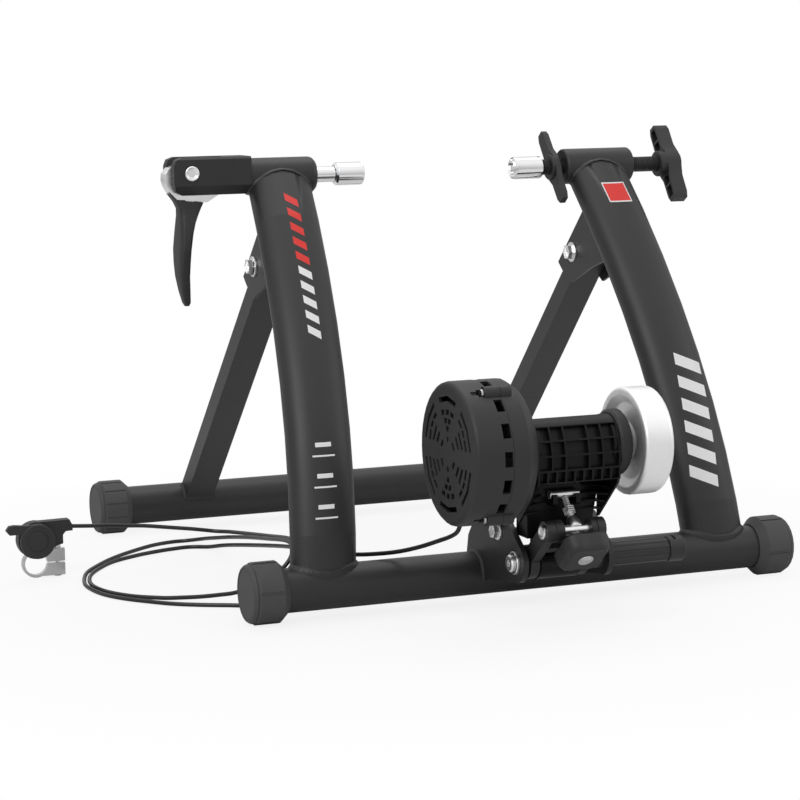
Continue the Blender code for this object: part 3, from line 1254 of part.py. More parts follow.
def smooth_route(route, count):
    """Points on a Catmull-Rom curve through the route, closer together where it bends."""
    ends = [Vector(route[0]) * 2 - Vector(route[1])] + [Vector(p) for p in route]
    ends.append(Vector(route[-1]) * 2 - Vector(route[-2]))
    fine = []
    for i in range(1, len(ends) - 2):
        a, b, c, d = ends[i - 1:i + 3]
        for k in range(20):
            t = k / 20
            fine.append(0.5 * ((2 * b) + (c - a) * t + (2 * a - 5 * b + 4 * c - d) * t * t
                               + (3 * b - a - 3 * c + d) * t ** 3))
    fine.append(ends[-2])
    lengths = [0.0]
    for k in range(len(fine) - 1):
        step = fine[k + 1] - fine[k]
        before = step if k == 0 else fine[k] - fine[k - 1]
        lengths.append(lengths[-1] + step.length + CABLE_BEND_SHARE * step.angle(before))
    points, j = [], 0
    for k in range(count):
        target = lengths[-1] * k / (count - 1)
        while j < len(lengths) - 2 and lengths[j + 1] < target:
            j += 1
        span = lengths[j + 1] - lengths[j]
        points.append(fine[j].lerp(fine[j + 1], (target - lengths[j]) / span))
    for point in points:
        point.z = max(point.z, FLOOR_Z)
    return points


def control_cable(parent):
    points = smooth_route(CABLE_ROUTE, CABLE_POINTS)
    return solid("control_cable", wire("control_cable", points, CABLE_R, 2), BLACK_PLASTIC, parent)


def build():
    clear_scene()
    floor = joint("trainer", (0, 0, 0))
    floor.location = ORIGIN
    foot_tube("front_tube", FRONT_AXIS, FRONT_HALF, floor)
    fold = joint("fold_axis", FOLD_POINT, floor)
    foot_tube("rear_tube", REAR_AXIS, REAR_HALF, fold)
    for word, side in (("left", -1), ("right", 1)):
        foot_cap(f"front_foot_{word}", FRONT_AXIS, FRONT_HALF, side, FRONT_TREADS, 27 if side < 0 else 41,
                 floor)
        foot_cap(f"rear_foot_{word}", REAR_AXIS, REAR_HALF, side, REAR_TREADS, 15, fold)
        upright(f"upright_{word}", side, floor)
        leg(f"leg_{word}", side, fold)
        hinge_bracket(f"hinge_bracket_{word}", side, floor)
        fold_bolt(f"fold_bolt_{word}", side, floor)
    head_left(floor)
    head_right(floor)
    bracket_plate("bracket_plate_left", PLATE_LEFT_X, -1, PIVOT_BOLT_R + GAP, floor)
    bracket_plate("bracket_plate_right", PLATE_RIGHT_X, 1, SLEEVE_R + GAP, floor)

    cam = joint("cam_axis", CAM_AXIS, floor)
    push = joint("clamp_pin_line", (CUP_LEFT_BACK, HEAD_Y, HEAD_Z), floor)
    cam_cover(floor)
    cam_pin(floor)
    return_spring(floor)
    cam_head(cam)
    lever_grip(cam)
    clamp_pin(push)
    axle_cup("axle_cup_left", CUP_LEFT_BACK, CUP_LEFT_MOUTH, push)

    adjuster = joint("adjuster_line", (CUP_RIGHT_BACK, HEAD_Y, HEAD_Z), floor)
    screw = joint("adjuster_axis", (HANDLE_X[0], HEAD_Y, HEAD_Z), adjuster)
    lock = joint("lock_axis", (LOCK_X[0], HEAD_Y, HEAD_Z), adjuster)
    cup = axle_cup("axle_cup_right", CUP_RIGHT_BACK, CUP_RIGHT_MOUTH, adjuster)
    notch = 0.0022
    for half_y, half_z in ((notch, 0.02), (0.02, notch)):
        cut(cup, box((CUP_RIGHT_MOUTH - 0.01, HEAD_Y - half_y, HEAD_Z - half_z),
                     (CUP_RIGHT_MOUTH + 0.0035, HEAD_Y + half_y, HEAD_Z + half_z)))
    adjuster_rod(screw)
    rod_bore = CLAMP_PIN_R + GAP
    handle("adjuster_handle", HANDLE_X, HANDLE_HALF, 0.0130, rod_bore, False, HANDLE_TILT, True, screw)
    handle("lock_handle", LOCK_X, LOCK_HALF, 0.0128, rod_bore, True, LOCK_TILT, False, lock)

    unit = joint("unit_pivot", PIVOT_AXIS, floor)
    magnet_cover(unit)
    back_shell(unit)
    for word, place in boss_places():
        cover_screw(f"cover_screw_{word}", place, unit)
    roller_cradle(unit)
    bearing_housing(unit)
    bearing("bearing_left", CRADLE_LEFT_X - 0.0102, CRADLE_LEFT_X - 0.0006, unit)
    bearing("bearing_right", HOUSING_RIGHT_X[0] + 0.0006, HOUSING_RIGHT_X[1] - 0.0028, unit)
    magnet_carrier(joint("carrier_axis", UNIT_AXIS, unit))
    rotor = joint("rotor_axis", UNIT_AXIS, unit)
    rotor_disc(rotor)
    roller(rotor)
    roller_shaft(rotor)
    flywheel(rotor)
    flywheel_nut(rotor)

    torsion_sleeve(floor)
    sleeve_collar(floor)
    pivot_bolt(floor)
    plate_bolt(floor)
    tension_yoke(floor)
    swivel = joint("trunnion_axis", TRUNNION_AXIS, floor)
    trunnion(swivel)
    trunnion_bush("trunnion_bush_left", ARM_LEFT_X[1] + GAP, TRUNNION_X[0] - GAP, floor)
    trunnion_bush("trunnion_bush_right", TRUNNION_X[1] + GAP, ARM_RIGHT_X[0] - GAP, floor)
    draw = joint("rod_line", TRUNNION_AXIS, swivel)
    t_bar(draw)
    tension_rod(draw)
    tension_knob(joint("knob_axis", TRUNNION_AXIS, swivel))

    shifter_body(floor)
    shifter_clamp(floor)
    clamp_bolt(floor)
    shifter_lever(joint("lever_axis", (DIAL_X, DIAL_Y, DIAL_Z), floor))
    control_cable(floor)


build()
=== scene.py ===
"""Finishes, weld beads, plain marks, cable and studio for the folding bike trainer.

Metres, in the packed model's own frame. Each hard piece is a copy of its packed node with joined
triangles, broken edges and its own finish. The weld beads, the knob's cap and the cable are made here.
"""

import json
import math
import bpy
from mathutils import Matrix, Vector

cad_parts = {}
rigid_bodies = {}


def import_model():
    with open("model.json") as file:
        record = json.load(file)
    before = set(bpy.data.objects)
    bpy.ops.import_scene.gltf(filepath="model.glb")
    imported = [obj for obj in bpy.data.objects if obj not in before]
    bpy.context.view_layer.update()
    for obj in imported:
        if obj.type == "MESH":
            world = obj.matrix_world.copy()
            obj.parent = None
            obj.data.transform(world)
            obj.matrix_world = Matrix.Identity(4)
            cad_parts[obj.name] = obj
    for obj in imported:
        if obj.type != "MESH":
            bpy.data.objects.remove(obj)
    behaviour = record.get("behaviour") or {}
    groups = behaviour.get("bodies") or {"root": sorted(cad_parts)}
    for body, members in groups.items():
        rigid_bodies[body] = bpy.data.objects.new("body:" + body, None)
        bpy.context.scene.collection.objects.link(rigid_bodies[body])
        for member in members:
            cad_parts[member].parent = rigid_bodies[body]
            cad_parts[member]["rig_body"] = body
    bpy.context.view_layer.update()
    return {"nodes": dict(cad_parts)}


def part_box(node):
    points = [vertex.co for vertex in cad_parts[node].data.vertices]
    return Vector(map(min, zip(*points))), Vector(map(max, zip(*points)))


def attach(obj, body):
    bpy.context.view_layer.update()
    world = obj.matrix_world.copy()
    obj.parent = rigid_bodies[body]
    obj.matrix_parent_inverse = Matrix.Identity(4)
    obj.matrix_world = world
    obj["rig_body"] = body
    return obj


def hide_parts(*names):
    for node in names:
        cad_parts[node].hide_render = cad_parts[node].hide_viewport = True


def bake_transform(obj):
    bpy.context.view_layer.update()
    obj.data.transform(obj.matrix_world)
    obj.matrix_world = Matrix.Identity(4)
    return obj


bl_info = {
    "name": "Bike trainer dressing",
    "version": (1, 0, 0),
    "blender": (4, 5, 0),
    "location": "View3D > Sidebar > Trainer",
    "description": "Dresses the packed bike trainer with its finishes, welds, labels and cable",
    "category": "Object",
}

import bmesh
import bpy
from bpy.props import FloatProperty, FloatVectorProperty, IntProperty, PointerProperty
from mathutils import Matrix, Vector

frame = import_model()

TURN = 2 * math.pi
MM = 0.001
TINY = 1e-9

# Fewest points of a line, and points of a smooth curve from one given point to the next
FEWEST_STEPS = 8
CURVE_STEPS = 20

# Joining a packed node's triangles, and the angles from which edges are sharp
MERGE_DISTANCE = 0.00001
FLAT_ANGLE = math.radians(0.6)
EDGE_ANGLE = math.radians(33)
TUBE_ANGLE = math.radians(60)

# How the uprights run, from the packed model: their middle line and the moved origin
ORIGIN = Vector((0.07195, -0.1641, 0))
UPRIGHT_FOOT_X = 0.1977
UPRIGHT_TOP_X = 0.1664
UPRIGHT_FOOT_Z = 0.0279
UPRIGHT_TOP_Z = 0.3855

# The tension screw: its middle plane, its two cross axes and the knob's end
SCREW_X = -0.011
TRUNNION = Vector((0, -0.1305, 0.087))
T_BAR = Vector((0, -0.1063, 0.115))
KNOB_FAR = 0.0310

# The knob's cap: sides, and from its rim inwards the share of the radius and the height
CAP_SIDES = 48
CAP_PROFILE = (
    (1.0, -0.0003), (1.0, 0.0005), (0.93, 0.0009), (0.80, 0.0009), (0.76, 0.0006),
    (0.70, 0.0006), (0.66, 0.0010), (0.40, 0.0013), (0.15, 0.0014),
)

# Weld beads: length of a step, rounds of smoothing, sides, how much the ripples curve, how far the
# bead's middle stands up, and how near the tube an edge has to lie to count as welded
WELD_STEP = 0.0007
WELD_ROUNDS = 6
WELD_SIDES = 12
WELD_CURVE = 0.55
WELD_RISE = 0.15
RIM_REACH = 0.0008

# Rings turned into flat ends, from the edge inwards: width and depth of each step
SOCKET = ((0.0008, 0), (0.0002, 0.0006), (0.0010, 0), (0.0003, 0.0012))
DIAL_GROOVE = ((0.0055, 0), (0.0003, 0.0006), (0.0012, 0), (0.0003, -0.0006))
CAP_GROOVE = ((0.0012, 0), (0.0003, 0.0006), (0.0008, 0), (0.0003, -0.0003))

# Which faces are flat ends: fewest corners, least share of the largest, and how squarely they face
END_CORNERS = 6
END_SHARE = 0.5
END_FACING = 0.9

# Plain marks on the uprights, besides the sizes in TrainerLabels. X counts from the upright's middle
# line, and a mark shows only where the surface normal's Y is under MARKS_FACING
MARKS_FACING = -0.3
LEFT_BARS_X = 0.0012
LEFT_BARS_SLOPE = 0.55
SHORT_BARS_X = -0.002
SHORT_BARS_Z = (0.1535, 0.1270, 0.1005)
SHORT_BAR_HALF = (0.0075, 0.0019)
FINE_LINE_DROP = 0.00955
FINE_LINE_HALF = (0.0105, 0.00075)
RIGHT_BARS_SLOPE = 0.4
RIGHT_BARS_DRIFT = 0.138
RIGHT_BARS_MIDDLE_Z = 0.136
SQUARE_X = 0.0028
SQUARE_HEIGHT_SHARE = 0.74
SQUARE_RIM = 0.0011

# How light the plastic of the handles and of the cradle is, against that of the covers; the cradle's far
# darker copy is painted shade
HANDLE_SHADE = 1.15
CRADLE_PAINTED_SHADE = 0.32

# From one ridge to the next: threads of the adjuster and the tension screw, and turned rings
ADJUSTER_PITCH = 0.0020
TENSION_PITCH = 0.0014
TURNING_PITCH = 0.0012

# Lamps: name, place, width and the setting that gives the watts
LAMPS = (
    ("key_lamp", (-1.7, -1.9, 2.1), 1.6, "key"),
    ("fill_lamp", (2.4, -1.3, 1.3), 1.4, "fill"),
    ("top_lamp", (0.2, 0.5, 2.6), 1.8, "top"),
)
LAMP_TARGET = Vector((0, 0, 0.15))

# Reflections brighten over this span of height, and the floor over this span of distance
HORIZON = (-0.15, 0.75)
FLOOR_FADE = (0.25, 0.70)
FLOOR_DROP = 0.0002

# The cable's route, in the front tube's own axes
CABLE_R = 0.002
FLOOR_Z = CABLE_R + 0.0002
CABLE_ROUTE = [
    (-0.0975, -0.0800, 0.0970), (-0.0976, -0.0788, 0.0902), (-0.0981, -0.0753, 0.0841),
    (-0.0992, -0.0703, 0.0800), (-0.1014, -0.0612, 0.0757), (-0.1039, -0.0520, 0.0722),
    (-0.1145, -0.0300, 0.0632), (-0.1262, -0.0100, 0.0563), (-0.1390, 0.0080, 0.0519),
    (-0.1556, 0.0280, 0.0488), (-0.1750, 0.0485, 0.0485), (-0.1876, 0.0655, 0.0484),
    (-0.1900, 0.0820, 0.0472), (-0.1902, 0.1136, 0.0437), (-0.1902, 0.1750, 0.0339),
    (-0.1903, 0.2640, 0.0186), (-0.1917, 0.3100, 0.0102), (-0.1975, 0.3420, 0.0035),
    (-0.2121, 0.3556, FLOOR_Z), (-0.2336, 0.3535, FLOOR_Z), (-0.2576, 0.3455, FLOOR_Z),
    (-0.2786, 0.3349, FLOOR_Z), (-0.3025, 0.3185, FLOOR_Z), (-0.3199, 0.2989, FLOOR_Z),
    (-0.3384, 0.2700, FLOOR_Z), (-0.3494, 0.2400, FLOOR_Z), (-0.3530, 0.2100, FLOOR_Z),
    (-0.3470, 0.1790, FLOOR_Z), (-0.3305, 0.1509, FLOOR_Z), (-0.3085, 0.1325, FLOOR_Z),
    (-0.2932, 0.1210, 0.0034), (-0.2788, 0.1075, 0.0056), (-0.2643, 0.0948, 0.0085),
    (-0.2532, 0.0835, 0.0117), (-0.2380, 0.0690, 0.0190), (-0.2220, 0.0600, 0.0300),
    (-0.2090, 0.0580, 0.0430), (-0.2030, 0.0670, 0.0530), (-0.2024, 0.0850, 0.0555),
    (-0.2028, 0.1370, 0.0483), (-0.2004, 0.2020, 0.0380), (-0.1967, 0.2746, 0.0252),
    (-0.1957, 0.3420, 0.0123), (-0.1962, 0.3690, 0.0068), (-0.2010, 0.3830, 0.0038),
    (-0.2110, 0.3900, FLOOR_Z), (-0.2260, 0.3890, FLOOR_Z), (-0.2457, 0.3810, FLOOR_Z),
    (-0.2710, 0.3618, FLOOR_Z), (-0.2979, 0.3367, FLOOR_Z), (-0.3214, 0.3079, FLOOR_Z),
    (-0.3440, 0.2720, FLOOR_Z), (-0.3575, 0.2270, FLOOR_Z), (-0.3585, 0.1968, FLOOR_Z),
    (-0.3531, 0.1690, FLOOR_Z), (-0.3413, 0.1450, FLOOR_Z), (-0.3250, 0.1240, FLOOR_Z),
    (-0.3073, 0.1046, FLOOR_Z), (-0.2848, 0.0886, FLOOR_Z), (-0.2553, 0.0721, FLOOR_Z),
    (-0.2360, 0.0570, 0.0045), (-0.2190, 0.0410, 0.0120), (-0.2055, 0.0320, 0.0240),
    (-0.1965, 0.0350, 0.0375), (-0.1938, 0.0500, 0.0480), (-0.1936, 0.0720, 0.0530),
    (-0.1944, 0.1006, 0.0542), (-0.1937, 0.1640, 0.0456), (-0.1925, 0.2260, 0.0368),
    (-0.1928, 0.2660, 0.0312), (-0.1965, 0.2810, 0.0296), (-0.2055, 0.2905, 0.0292),
    (-0.2170, 0.2935, 0.0308), (-0.2305, 0.2930, 0.0332), (-0.2522, 0.2860, 0.0375),
    (-0.2815, 0.2790, 0.0429), (-0.3020, 0.2750, 0.0454), (-0.3217, 0.2730, 0.0476),
    (-0.3372, 0.2720, 0.0487), (-0.3568, 0.2710, 0.0503),
]


def colour_property(name, description, default):
    return FloatVectorProperty(name=name, description=description, default=default,
                               subtype="COLOR", min=0.0, max=1.0)


def length_property(name, description, default):
    return FloatProperty(name=name, description=description, default=default,
                         unit="LENGTH", subtype="DISTANCE", precision=5)


def share_property(name, description, default):
    return FloatProperty(name=name, description=description, default=default, min=0.0, max=1.0,
                         subtype="FACTOR")


class TrainerCoats(bpy.types.PropertyGroup):
    """Colours and gloss of the painted and moulded surfaces."""

    paint: colour_property("Powder coat", "Satin black of the frame", (0.021, 0.021, 0.022))
    paint_roughness: share_property("Coat roughness", "Gloss of the powder coat", 0.44)
    plastic: colour_property("Moulded plastic", "Black of the covers and handles", (0.016, 0.016, 0.0172))
    plastic_roughness: share_property("Plastic roughness", "Gloss of the covers and handles", 0.5)
    cradle_roughness: share_property("Cradle roughness", "Gloss of the ribbed cradle", 0.36)
    rubber: colour_property("Foot caps", "Grey black of the foot caps", (0.056, 0.056, 0.058))
    gel: colour_property("Roller", "Dark resin of the roller", (0.05, 0.05, 0.055))
    cable: colour_property("Cable jacket", "Black of the cable", (0.007, 0.007, 0.0075))


class TrainerMetals(bpy.types.PropertyGroup):
    """Colours and gloss of the bare metal."""

    chrome: colour_property("Chrome", "Polished pins, cups and screws", (0.88, 0.88, 0.89))
    chrome_roughness: share_property("Chrome roughness", "Gloss of the chrome", 0.09)
    pin: colour_property("Pins", "Bright plated pins and bolts", (0.92, 0.92, 0.93))
    zinc: colour_property("Zinc", "Plated screws and springs", (0.60, 0.60, 0.62))
    steel: colour_property("Flywheel", "Bright turned steel", (0.88, 0.88, 0.882))
    alloy: colour_property("Alloy", "Satin handlebar clamp", (0.62, 0.62, 0.63))
    cap_radius: length_property("Knob cap radius", "Radius of the silver cap on the knob", 0.0068)


class TrainerLabels(bpy.types.PropertyGroup):
    """Plain marks on the uprights."""

    white: colour_property("White marks", "White print", (0.84, 0.84, 0.84))
    red: colour_property("Red marks", "Red print", (0.72, 0.035, 0.028))
    left_half: length_property("Left bar half width", "Half width of the left bars", 0.0060)
    left_low: length_property("Left bars start", "Height where the left bars start", 0.246)
    left_count: IntProperty(name="Left bars", description="How many bars on the left", default=10, min=1)
    left_white: IntProperty(name="White bars", description="How many of them are white", default=5, min=0)
    left_pitch: length_property("Left bar pitch", "From one left bar to the next", 0.0128)
    right_half: length_property("Right bar half width", "Half width of the right bars", 0.0140)
    right_low: length_property("Right bars start", "Height where the right bars start", 0.0945)
    right_count: IntProperty(name="Right bars", description="How many bars on the right", default=6, min=1)
    right_pitch: length_property("Right bar pitch", "From one right bar to the next", 0.0204)
    bar_share: share_property("Bar share", "Share of the pitch that is printed", 0.52)
    square_half: length_property("Square half width", "Half width of the red square", 0.0125)
    square_z: length_property("Square height", "Height of the red square's middle", 0.3612)


class TrainerWelds(bpy.types.PropertyGroup):
    """Weld beads between the tubes."""

    half_width: length_property("Bead half width", "Half the width of a bead", 0.0046)
    height: length_property("Bead height", "How far a bead stands proud", 0.0017)
    pitch: length_property("Ripple pitch", "From one ripple to the next", 0.0026)
    ripple: share_property("Ripple depth", "Share of the height that a ripple takes", 0.34)


class TrainerCable(bpy.types.PropertyGroup):
    """The cable from the magnet cover to the shifter."""

    length: length_property("Length", "The whole length of the cable", 2.229)
    sides: IntProperty(name="Sides", description="Sides of the cable's tube", default=12, min=6)
    step: length_property("Step", "From one ring of the tube to the next", 0.0032)
    free: length_property("Free length", "How far the cable bends as the unit swings", 0.110)


class TrainerStudio(bpy.types.PropertyGroup):
    """Camera, lamps and floor."""

    camera: FloatVectorProperty(name="Camera", description="Place of the camera", subtype="TRANSLATION",
                                unit="LENGTH", default=(-0.86785, -2.2259, 0.4964))
    yaw: FloatProperty(name="Yaw", description="Right of straight ahead", subtype="ANGLE",
                       default=math.radians(21.6491))
    pitch: FloatProperty(name="Pitch", description="Below level", subtype="ANGLE",
                         default=math.radians(7.8227))
    roll: FloatProperty(name="Roll", description="Turn about the view", subtype="ANGLE",
                        default=math.radians(-0.7860))
    lens: FloatProperty(name="Lens", description="Focal length in mm", default=112.62)
    sensor: FloatProperty(name="Sensor", description="Sensor width in mm", default=36.0)
    key: FloatProperty(name="Key", description="Watts of the lamp at the upper left", default=30.0)
    fill: FloatProperty(name="Fill", description="Watts of the lamp at the right", default=9.0)
    top: FloatProperty(name="Top", description="Watts of the lamp overhead", default=15.0)
    sky: share_property("Sky", "Strength of the world on rough surfaces", 0.42)
    floor_size: length_property("Floor size", "Half the width of the floor", 6.0)
    floor: colour_property("Floor", "Colour of the floor", (0.92, 0.92, 0.92))
    floor_glow: share_property("Floor glow", "How white the floor is under the object", 0.84)
    low_glow: share_property("Low glow", "Brightness of low reflections", 0.50)


GROUPS = {
    "trainer_coats": TrainerCoats,
    "trainer_metals": TrainerMetals,
    "trainer_labels": TrainerLabels,
    "trainer_welds": TrainerWelds,
    "trainer_cable": TrainerCable,
    "trainer_studio": TrainerStudio,
}


class Link:
    """A value among the nodes. Arithmetic on it adds Math nodes."""

    def __init__(self, owner, socket):
        self.owner = owner
        self.socket = socket

    def maths(self, operation, *values):
        return self.owner.node("ShaderNodeMath", {"operation": operation}, dict(enumerate(values)))

    def __add__(self, other):
        return self.maths("ADD", self, other)

    def __radd__(self, other):
        return self.maths("ADD", other, self)

    def __sub__(self, other):
        return self.maths("SUBTRACT", self, other)

    def __rsub__(self, other):
        return self.maths("SUBTRACT", other, self)

    def __mul__(self, other):
        return self.maths("MULTIPLY", self, other)

    def __rmul__(self, other):
        return self.maths("MULTIPLY", other, self)

    def __mod__(self, other):
        return self.maths("FLOORED_MODULO", self, other)

    def __rmod__(self, other):
        return self.maths("FLOORED_MODULO", other, self)

    def __lt__(self, other):
        return self.maths("LESS_THAN", self, other)

    def __gt__(self, other):
        return self.maths("GREATER_THAN", self, other)

    def larger(self, other):
        return self.maths("MAXIMUM", self, other)

    def root(self):
        return self.maths("SQRT", self)

    def wave(self):
        return self.maths("SINE", self)


class Nodes:
    """The nodes of a material or of the world."""

    def __init__(self, tree):
        self.tree = tree

    def node(self, kind, settings=None, values=None, output=0):
        """Adds a node: its settings first, then the values or links of its sockets."""
        made = self.tree.nodes.new(kind)
        for key, value in (settings or {}).items():
            setattr(made, key, value)
        for key, value in (values or {}).items():
            self.feed(made.inputs[key], value)
        return Link(self, made.outputs[output])

    def feed(self, socket, value):
        if isinstance(value, Link):
            self.tree.links.new(value.socket, socket)
        else:
            socket.default_value = value

    def outputs(self, link, *keys):
        """Several outputs of the node that a link comes from."""
        return [Link(self, link.socket.node.outputs[key]) for key in keys]

    def mapped(self, value, span, low, high):
        """A value carried from a span to the one from low to high, and held at its ends."""
        values = {"Value": value, "From Min": span[0], "From Max": span[1], "To Min": low, "To Max": high}
        return self.node("ShaderNodeMapRange", None, values, output="Result")

    def length(self, vector):
        return self.node("ShaderNodeVectorMath", {"operation": "LENGTH"}, {0: vector}, output="Value")


class Finish(Nodes):
    """One procedural material, built from a Principled shader outward."""

    def __init__(self, name, colour, roughness, metallic=0.0, level=0.5):
        self.material = bpy.data.materials.new(name)
        self.material.use_nodes = True
        super().__init__(self.material.node_tree)
        self.shader = self.tree.nodes["Principled BSDF"]
        self.colour = (*colour, 1.0)
        self.set("Base Color", self.colour)
        self.set("Roughness", roughness)
        self.set("Metallic", metallic)
        self.set("Specular IOR Level", level)
        self.place = self.node("ShaderNodeTexCoord", output="Object")

    def set(self, name, value):
        self.feed(self.shader.inputs[name], value)

    def axes(self):
        """How far along X, Y and Z a point lies."""
        return self.outputs(self.node("ShaderNodeSeparateXYZ", None, {0: self.place}), "X", "Y", "Z")

    def facing(self, axis):
        """The surface normal's share along X, Y or Z, in the piece's own axes."""
        normal = self.node("ShaderNodeTexCoord", output="Normal")
        return self.node("ShaderNodeSeparateXYZ", None, {0: normal}, output=axis)

    def noise(self, size, detail=2.0, stretch=(1, 1, 1)):
        """Even noise whose blobs are about size metres wide."""
        spread = self.node("ShaderNodeVectorMath", {"operation": "MULTIPLY"}, {0: self.place, 1: stretch})
        values = {"Vector": spread, "Scale": 1 / size, "Detail": detail}
        return self.node("ShaderNodeTexNoise", None, values)

    def mix(self, share, first, second):
        """A colour between two colours. On the Mix node these are sockets 6 and 7, and output 2."""
        values = {0: share, 6: first, 7: second}
        return self.node("ShaderNodeMix", {"data_type": "RGBA"}, values, output=2)

    def shade(self, base, spread, share):
        """A colour that drifts by spread about base, darker to lighter, as share goes from 0 to 1."""
        dark = tuple(c * (1 - spread) for c in base)
        light = tuple(c * (1 + spread) for c in base)
        return self.mix(share, (*dark, 1.0), (*light, 1.0))

    def drift(self, base, spread, share):
        """A number that drifts by spread about base as share goes from 0 to 1."""
        return share * spread + (base - spread / 2)

    def bump(self, height, depth, strength):
        values = {"Height": height, "Distance": depth, "Strength": strength}
        return self.node("ShaderNodeBump", None, values)


def settings(group):
    return getattr(bpy.context.scene, group)


def powder_coat(name="powder_coat"):
    """Satin powder coat: fine orange peel over a soft drift of shade."""
    coats = settings("trainer_coats")
    coat = Finish(name, coats.paint, coats.paint_roughness, level=0.42)
    cloud = coat.noise(size=0.07)
    coat.colour = coat.shade(coats.paint, spread=0.16, share=cloud)
    coat.set("Base Color", coat.colour)
    coat.set("Roughness", coat.drift(coats.paint_roughness, spread=0.10, share=cloud))
    peel = coat.noise(size=0.0013, detail=1.5)
    coat.set("Normal", coat.bump(peel, depth=0.00006, strength=0.8))
    return coat


def threaded(coat, axis, pitch, depth):
    """A finish with a screw thread's look along axis 0, 1 or 2."""
    ridge = (coat.axes()[axis] * (TURN / pitch)).wave()
    coat.set("Normal", coat.bump(ridge, depth, strength=1.0))
    return coat


def moulded(name, colour, roughness, grain=0.0006, depth=0.00005, level=0.45):
    """Moulded plastic or rubber with a fine spark grain and faint flow marks."""
    skin = Finish(name, colour, roughness, level=level)
    flow = skin.noise(size=0.03, detail=3.0)
    skin.set("Base Color", skin.shade(colour, spread=0.14, share=flow))
    skin.set("Roughness", skin.drift(roughness, spread=0.12, share=flow))
    skin.set("Normal", skin.bump(skin.noise(grain), depth, strength=0.8))
    return skin


def bright_metal(name, colour, roughness, streak=(1, 1, 1), depth=0.00001):
    """Bare metal with a faint polish pattern, which streak draws out along an axis."""
    metal = Finish(name, colour, roughness, metallic=1.0)
    polish = metal.noise(size=0.0016, detail=3.0, stretch=streak)
    cloud = metal.noise(size=0.018)
    metal.set("Base Color", metal.shade(colour, spread=0.05, share=cloud))
    metal.set("Roughness", metal.drift(roughness, spread=0.12, share=(cloud + polish) * 0.5))
    metal.set("Normal", metal.bump(polish, depth, strength=0.6))
    return metal


def turned_steel(name, colour, roughness, node):
    """Turned metal: rings about the node's X axis, on its faces and round its rim."""
    low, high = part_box(node)
    middle = (low + high) / 2
    metal = Finish(name, colour, roughness, metallic=1.0)
    x, y, z = metal.axes()
    across = y - middle.y
    up = z - middle.z
    reach = (across * across + up * up).root()
    rings = ((reach + x) * (TURN / TURNING_PITCH)).wave()
    cloud = metal.noise(size=0.02, detail=3.0)
    metal.set("Base Color", metal.shade(colour, spread=0.035, share=cloud))
    metal.set("Roughness", metal.drift(roughness, spread=0.10, share=cloud))
    metal.set("Normal", metal.bump(rings, depth=0.00002, strength=0.5))
    return metal


def band(value, low, high):
    """One between low and high, and nought outside."""
    return (value > low) * (value < high)


def patch(across, z, middle_x, middle_z, half_width, half_height):
    """A level rectangle about a point of an upright's front."""
    return (band(across - middle_x, -half_width, half_width)
            * band(z - middle_z, -half_height, half_height))


def slanted_bars(across, z, half, low, count, pitch, slope):
    """Slanted bars stacked from low upwards, and how far up the stack a point lies."""
    rise = z - low + across * slope
    within = band(across, -half, half) * band(rise, 0, count * pitch)
    return within * (rise % pitch < pitch * settings("trainer_labels").bar_share), rise


def left_marks(across, z):
    """White and red marks of the left upright: slanted bars, and three short bars with fine lines."""
    labels = settings("trainer_labels")
    bars, rise = slanted_bars(across - LEFT_BARS_X, z, labels.left_half, labels.left_low,
                              labels.left_count, labels.left_pitch, LEFT_BARS_SLOPE)
    red = bars * (rise > labels.left_white * labels.left_pitch)
    white = bars - red
    for height in SHORT_BARS_Z:
        white = white + patch(across, z, SHORT_BARS_X, height, *SHORT_BAR_HALF)
        white = white + patch(across, z, SHORT_BARS_X, height - FINE_LINE_DROP, *FINE_LINE_HALF)
    return white, red


def right_marks(across, z):
    """White and red marks of the right upright: wide slanted bars, and a red square with a white rim."""
    labels = settings("trainer_labels")
    middle = (z - RIGHT_BARS_MIDDLE_Z) * RIGHT_BARS_DRIFT
    bars, _ = slanted_bars(across - middle, z, labels.right_half, labels.right_low,
                           labels.right_count, labels.right_pitch, RIGHT_BARS_SLOPE)
    width = labels.square_half
    height = width * SQUARE_HEIGHT_SHARE
    whole = patch(across, z, SQUARE_X, labels.square_z, width, height)
    red = patch(across, z, SQUARE_X, labels.square_z, width - SQUARE_RIM, height - SQUARE_RIM)
    return bars + whole - red, red


def printed_coat(side):
    """Powder coat of one upright with its plain marks: side is -1 on the left and 1 on the right."""
    labels = settings("trainer_labels")
    coat = powder_coat(f"powder_coat_{'left' if side < 0 else 'right'}")
    x, _, z = coat.axes()
    lean = (UPRIGHT_TOP_X - UPRIGHT_FOOT_X) / (UPRIGHT_TOP_Z - UPRIGHT_FOOT_Z)
    across = x - (ORIGIN.x + side * (UPRIGHT_FOOT_X - lean * UPRIGHT_FOOT_Z)) - z * (side * lean)
    white, red = left_marks(across, z) if side < 0 else right_marks(across, z)
    front = coat.facing("Y") < MARKS_FACING
    whitened = coat.mix(white * front, coat.colour, (*labels.white, 1.0))
    coat.set("Base Color", coat.mix(red * front, whitened, (*labels.red, 1.0)))
    return coat


# Finishes already built
FINISHES = {}


